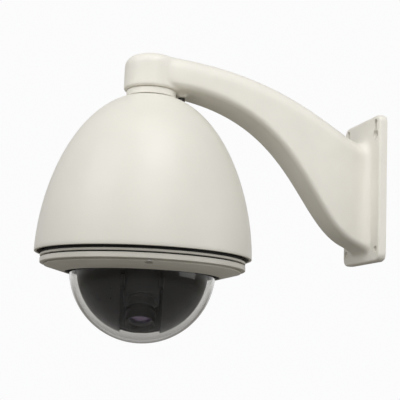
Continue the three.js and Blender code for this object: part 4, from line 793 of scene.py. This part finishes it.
def liner():
    """The black bowl inside the bubble, flat underneath, with a slot that the lens looks out of."""
    inner = LINER_R - LINER_WALL
    floor = LINER_FLAT - LINER_WALL
    outer_start = -math.degrees(math.asin(LINER_FLAT / LINER_R))
    inner_start = -math.degrees(math.asin(floor / inner))
    shell = turned("liner", [
        (0, BUBBLE_Z - LINER_FLAT),
        *[(r, BUBBLE_Z + z) for r, z in arc(0, 0, LINER_R, outer_start, 0, 40)],
        (LINER_R, LINER_FLANGE_Z + LINER_WALL, 0.0008),
        (LINER_INNER_R, LINER_FLANGE_Z + LINER_WALL, 0.0004),
        (LINER_INNER_R, LINER_FLANGE_Z, 0.0004),
        (inner, LINER_FLANGE_Z, 0.0008),
        *[(r, BUBBLE_Z + z) for r, z in arc(0, 0, inner, 0, inner_start, 40)],
        (0, BUBBLE_Z - floor),
    ], Matrix.Identity(4), 192, False)
    front = -LINER_R - PAST
    slot = prism("slot", rounded_rectangle(SLOT_WIDTH, SLOT_BACK - front, SLOT_ROUND, 6),
                 BUBBLE_Z - LINER_R - PAST, SLOT_TOP, Matrix.Translation((0, (front + SLOT_BACK) / 2, 0)))
    cut(shell, slot, crease=30)
    shell.data.transform(DROP @ Matrix.Rotation(PAN, 4, "Z"))
    return shell


finished(liner(), "liner")

# ---------------------------------------------------------------- camera block and lens


def camera_block():
    """The camera's box, open at the back for its cover and bored at the front for the lens."""
    bm = bmesh.new()
    edges = [(0.0016, BLOCK_BACK), (0.0006, BLOCK_BACK + 0.0002), (0, BLOCK_BACK + 0.0008),
             (0, BLOCK_FRONT - 0.0016), (0.0005, BLOCK_FRONT - 0.0005), (0.0016, BLOCK_FRONT)]
    loft(bm, [
        [(x, y, z) for x, y in rounded_rectangle(
            BLOCK_WIDTH - 2 * inset, BLOCK_HEIGHT - 2 * inset, BLOCK_CORNER - inset)]
        for inset, z in edges
    ])
    block = new_object("camera housing", bm, 30)
    hollow = rounded_rectangle(BLOCK_WIDTH - 2 * BLOCK_WALL, BLOCK_HEIGHT - 2 * BLOCK_WALL,
                               BLOCK_CORNER - BLOCK_WALL)
    cut(block, prism("hollow", hollow, BLOCK_BACK - PAST, BLOCK_FRONT - BLOCK_WALL))
    cut(block, bore("lens bore", BARREL_R + GAP, BLOCK_FRONT - 2 * BLOCK_WALL, BLOCK_FRONT + PAST,
                    Matrix.Identity(4), 72))
    block.data.transform(LENS_FRAME)
    return block


finished(camera_block(), "camera_housing")
finished(turned("lens barrel", [
    (BARREL_INNER_R, BARREL_BACK),
    (BARREL_R, BARREL_BACK, 0.0003),
    (BARREL_R, BLOCK_FRONT + GAP),
    (BARREL_R + 0.0016, BLOCK_FRONT + GAP, 0.0003),
    (BARREL_R + 0.0016, BLOCK_FRONT + GAP + 0.003, 0.0006),
    (BARREL_R, BLOCK_FRONT + GAP + 0.003),
    (BARREL_R, BARREL_FRONT, 0.0003),
    (BARREL_INNER_R, BARREL_FRONT, 0.0002),
    (BARREL_INNER_R, BARREL_FRONT - 0.0016),
], LENS_FRAME, 96), "lens_barrel")
# Fine steps inside the hood's mouth keep stray light off the lens.
STEP_R, STEP_CUT, STEP_LENGTH = HOOD_R - 0.0011, 0.0004, 0.002
hood_steps = []
for step in range(3):
    z = HOOD_FRONT - STEP_LENGTH * step - 0.0019
    hood_steps += [(STEP_R - STEP_CUT * step, z), (STEP_R - STEP_CUT * (step + 1), z)]
finished(turned("lens hood", [
    (HOOD_INNER_R, HOOD_BACK),
    (HOOD_R, HOOD_BACK, 0.0005),
    (HOOD_R, HOOD_BACK + 0.0030),
    (HOOD_R - 0.0002, HOOD_BACK + 0.0033),
    (HOOD_R - 0.0002, HOOD_BACK + 0.0043),
    (HOOD_R, HOOD_BACK + 0.0046),
    (HOOD_R, HOOD_FRONT, 0.0004),
    (HOOD_R - 0.0010, HOOD_FRONT, 0.0003),
    *hood_steps,
    (HOOD_INNER_R, BARREL_FRONT - 0.0001),
], LENS_FRAME, 96), "lens_hood")
lens_sphere = (LENS_R**2 + LENS_BULGE**2) / (2 * LENS_BULGE)
lens_half = math.degrees(math.asin(LENS_R / lens_sphere))
finished(turned("front lens", [
    (0, LENS_BACK),
    (LENS_R, LENS_BACK, 0.0003),
    *arc(0, BARREL_FRONT - lens_sphere, lens_sphere, 90 - lens_half, 90, 16),
], LENS_FRAME, 96, False), "front_lens")

# ---------------------------------------------------------------- finishes on the frame's own shapes

# The frame's pieces that show through the gap above the rings and through the liner's slot are dull black:
# painted shade for the dark in there.
BLACK_AS_SHADE = ("inner_housing", "yoke_arm_left", "yoke_arm_right", "tilt_bearing_left", "tilt_bearing_right",
                 "trunnion_left", "trunnion_right", "tilt_pulley")
for node, obj in frame["nodes"].items():
    if node in pieces:
        continue
    obj.data.materials.clear()
    obj.data.materials.append(SHADE_BLACK if node in BLACK_AS_SHADE else MATERIALS[SLOT_OF[node]])

# ---------------------------------------------------------------- floor, light and camera

FLOOR_Z, FLOOR_R = -0.62, 2.6
FLOOR_FADE_START, FLOOR_FADE_END = 1.2, 2.5


def floor():
    """A pale disc that fades out towards its edge."""
    bm = bmesh.new()
    bm.faces.new([bm.verts.new((x, DOME_Y + y, FLOOR_Z)) for x, y in circle(FLOOR_R, 96)])
    obj = new_object("floor", bm)
    tree = Tree("pale floor")
    tone = tree.mix(tree.remap(tree.noise(1.2, 3.0), 0.3, 0.7), (0.80, 0.80, 0.80), (0.84, 0.84, 0.84))
    tree.links.new(tone, tree.shader.inputs["Base Color"])
    tree.shader.inputs["Roughness"].default_value = 0.9
    length = tree.nodes.new("ShaderNodeVectorMath")
    length.operation = "DISTANCE"
    length.inputs[1].default_value = (0, DOME_Y, FLOOR_Z)
    tree.links.new(tree.place, length.inputs[0])
    clear = tree.nodes.new("ShaderNodeBsdfTransparent")
    blend = tree.nodes.new("ShaderNodeMixShader")
    tree.links.new(tree.remap(length.outputs["Value"], FLOOR_FADE_START, FLOOR_FADE_END), blend.inputs[0])
    tree.links.new(tree.shader.outputs[0], blend.inputs[1])
    tree.links.new(clear.outputs[0], blend.inputs[2])
    tree.links.new(blend.outputs[0], tree.nodes["Material Output"].inputs["Surface"])
    obj.data.materials.append(tree.material)
    # The floor is far below a wall camera, so it neither lights nor is mirrored in its underside.
    obj.visible_diffuse = False
    obj.visible_glossy = False


SKY_ABOVE = (0.04, 0.04, 0.045)
SKY_LEVEL = (0.75, 0.75, 0.745)
SKY_BELOW = (0.215, 0.205, 0.185)
BACKDROP = (0.97, 0.97, 0.975)


def sky():
    """White behind the object, and for everything else a studio that is bright at eye level and dim elsewhere."""
    world = bpy.data.worlds.new("studio")
    bpy.context.scene.world = world
    world.use_nodes = True
    nodes, links = world.node_tree.nodes, world.node_tree.links
    nodes.clear()
    place = nodes.new("ShaderNodeTexCoord")
    split = nodes.new("ShaderNodeSeparateXYZ")
    links.new(place.outputs["Generated"], split.inputs[0])
    ramp = nodes.new("ShaderNodeValToRGB")
    ramp.color_ramp.elements.new(0.52)
    for step, at, colour in zip(ramp.color_ramp.elements, (0.44, 0.52, 1.0), (SKY_BELOW, SKY_LEVEL, SKY_ABOVE)):
        step.position = at
        step.color = (*colour, 1)
    spread = nodes.new("ShaderNodeMapRange")
    spread.inputs["From Min"].default_value = -1
    links.new(split.outputs["Z"], spread.inputs["Value"])
    links.new(spread.outputs["Result"], ramp.inputs["Fac"])
    lit = nodes.new("ShaderNodeBackground")
    links.new(ramp.outputs["Color"], lit.inputs["Color"])
    seen = nodes.new("ShaderNodeBackground")
    seen.inputs["Color"].default_value = (*BACKDROP, 1)
    path = nodes.new("ShaderNodeLightPath")
    pick = nodes.new("ShaderNodeMixShader")
    links.new(path.outputs["Is Camera Ray"], pick.inputs[0])
    links.new(lit.outputs[0], pick.inputs[1])
    links.new(seen.outputs[0], pick.inputs[2])
    out = nodes.new("ShaderNodeOutputWorld")
    links.new(pick.outputs[0], out.inputs["Surface"])


SOFTBOX_SIZE = 1.3
SOFTBOX_AIM = Vector((0, -0.2, 0))


def softbox(name, place, power):
    """A square soft light aimed at the middle of the object."""
    data = bpy.data.lights.new(name, "AREA")
    data.shape = "SQUARE"
    data.size = SOFTBOX_SIZE
    data.energy = power
    lamp = bpy.data.objects.new(name, data)
    lamp.location = place
    lamp.rotation_euler = (SOFTBOX_AIM - Vector(place)).to_track_quat("-Z", "Y").to_euler()
    bpy.context.scene.collection.objects.link(lamp)


def camera():
    """Beside the object and a little below it, turned slightly up, as in the photo."""
    place = Vector((1.1211, -0.5470, -0.2145))
    ahead = Vector((-0.9477, 0.2775, 0.1580)).normalized()
    roll = math.radians(2.37)
    right = ahead.cross(Vector((0, 0, 1))).normalized()
    up = right.cross(ahead)
    turned_right = right * math.cos(roll) + up * math.sin(roll)
    turned_up = up * math.cos(roll) - right * math.sin(roll)
    data = bpy.data.cameras.new("camera")
    data.lens, data.sensor_width = 90, 36
    obj = bpy.data.objects.new("camera", data)
    axes = Matrix((turned_right, turned_up, -ahead)).transposed().to_4x4()
    obj.matrix_world = Matrix.Translation(place) @ axes
    bpy.context.scene.collection.objects.link(obj)
    bpy.context.scene.camera = obj


floor()
sky()
softbox("key", (0.616, -1.893, 1.262), 15.5)
softbox("over the camera", (1.257, -0.310, 1.802), 21)
softbox("beside the camera", (2.036, -0.559, 0.752), 6.5)
softbox("along the wall", (1.096, 1.698, 0.192), 8.5)
camera()
bpy.context.scene.view_settings.view_transform = "Standard"
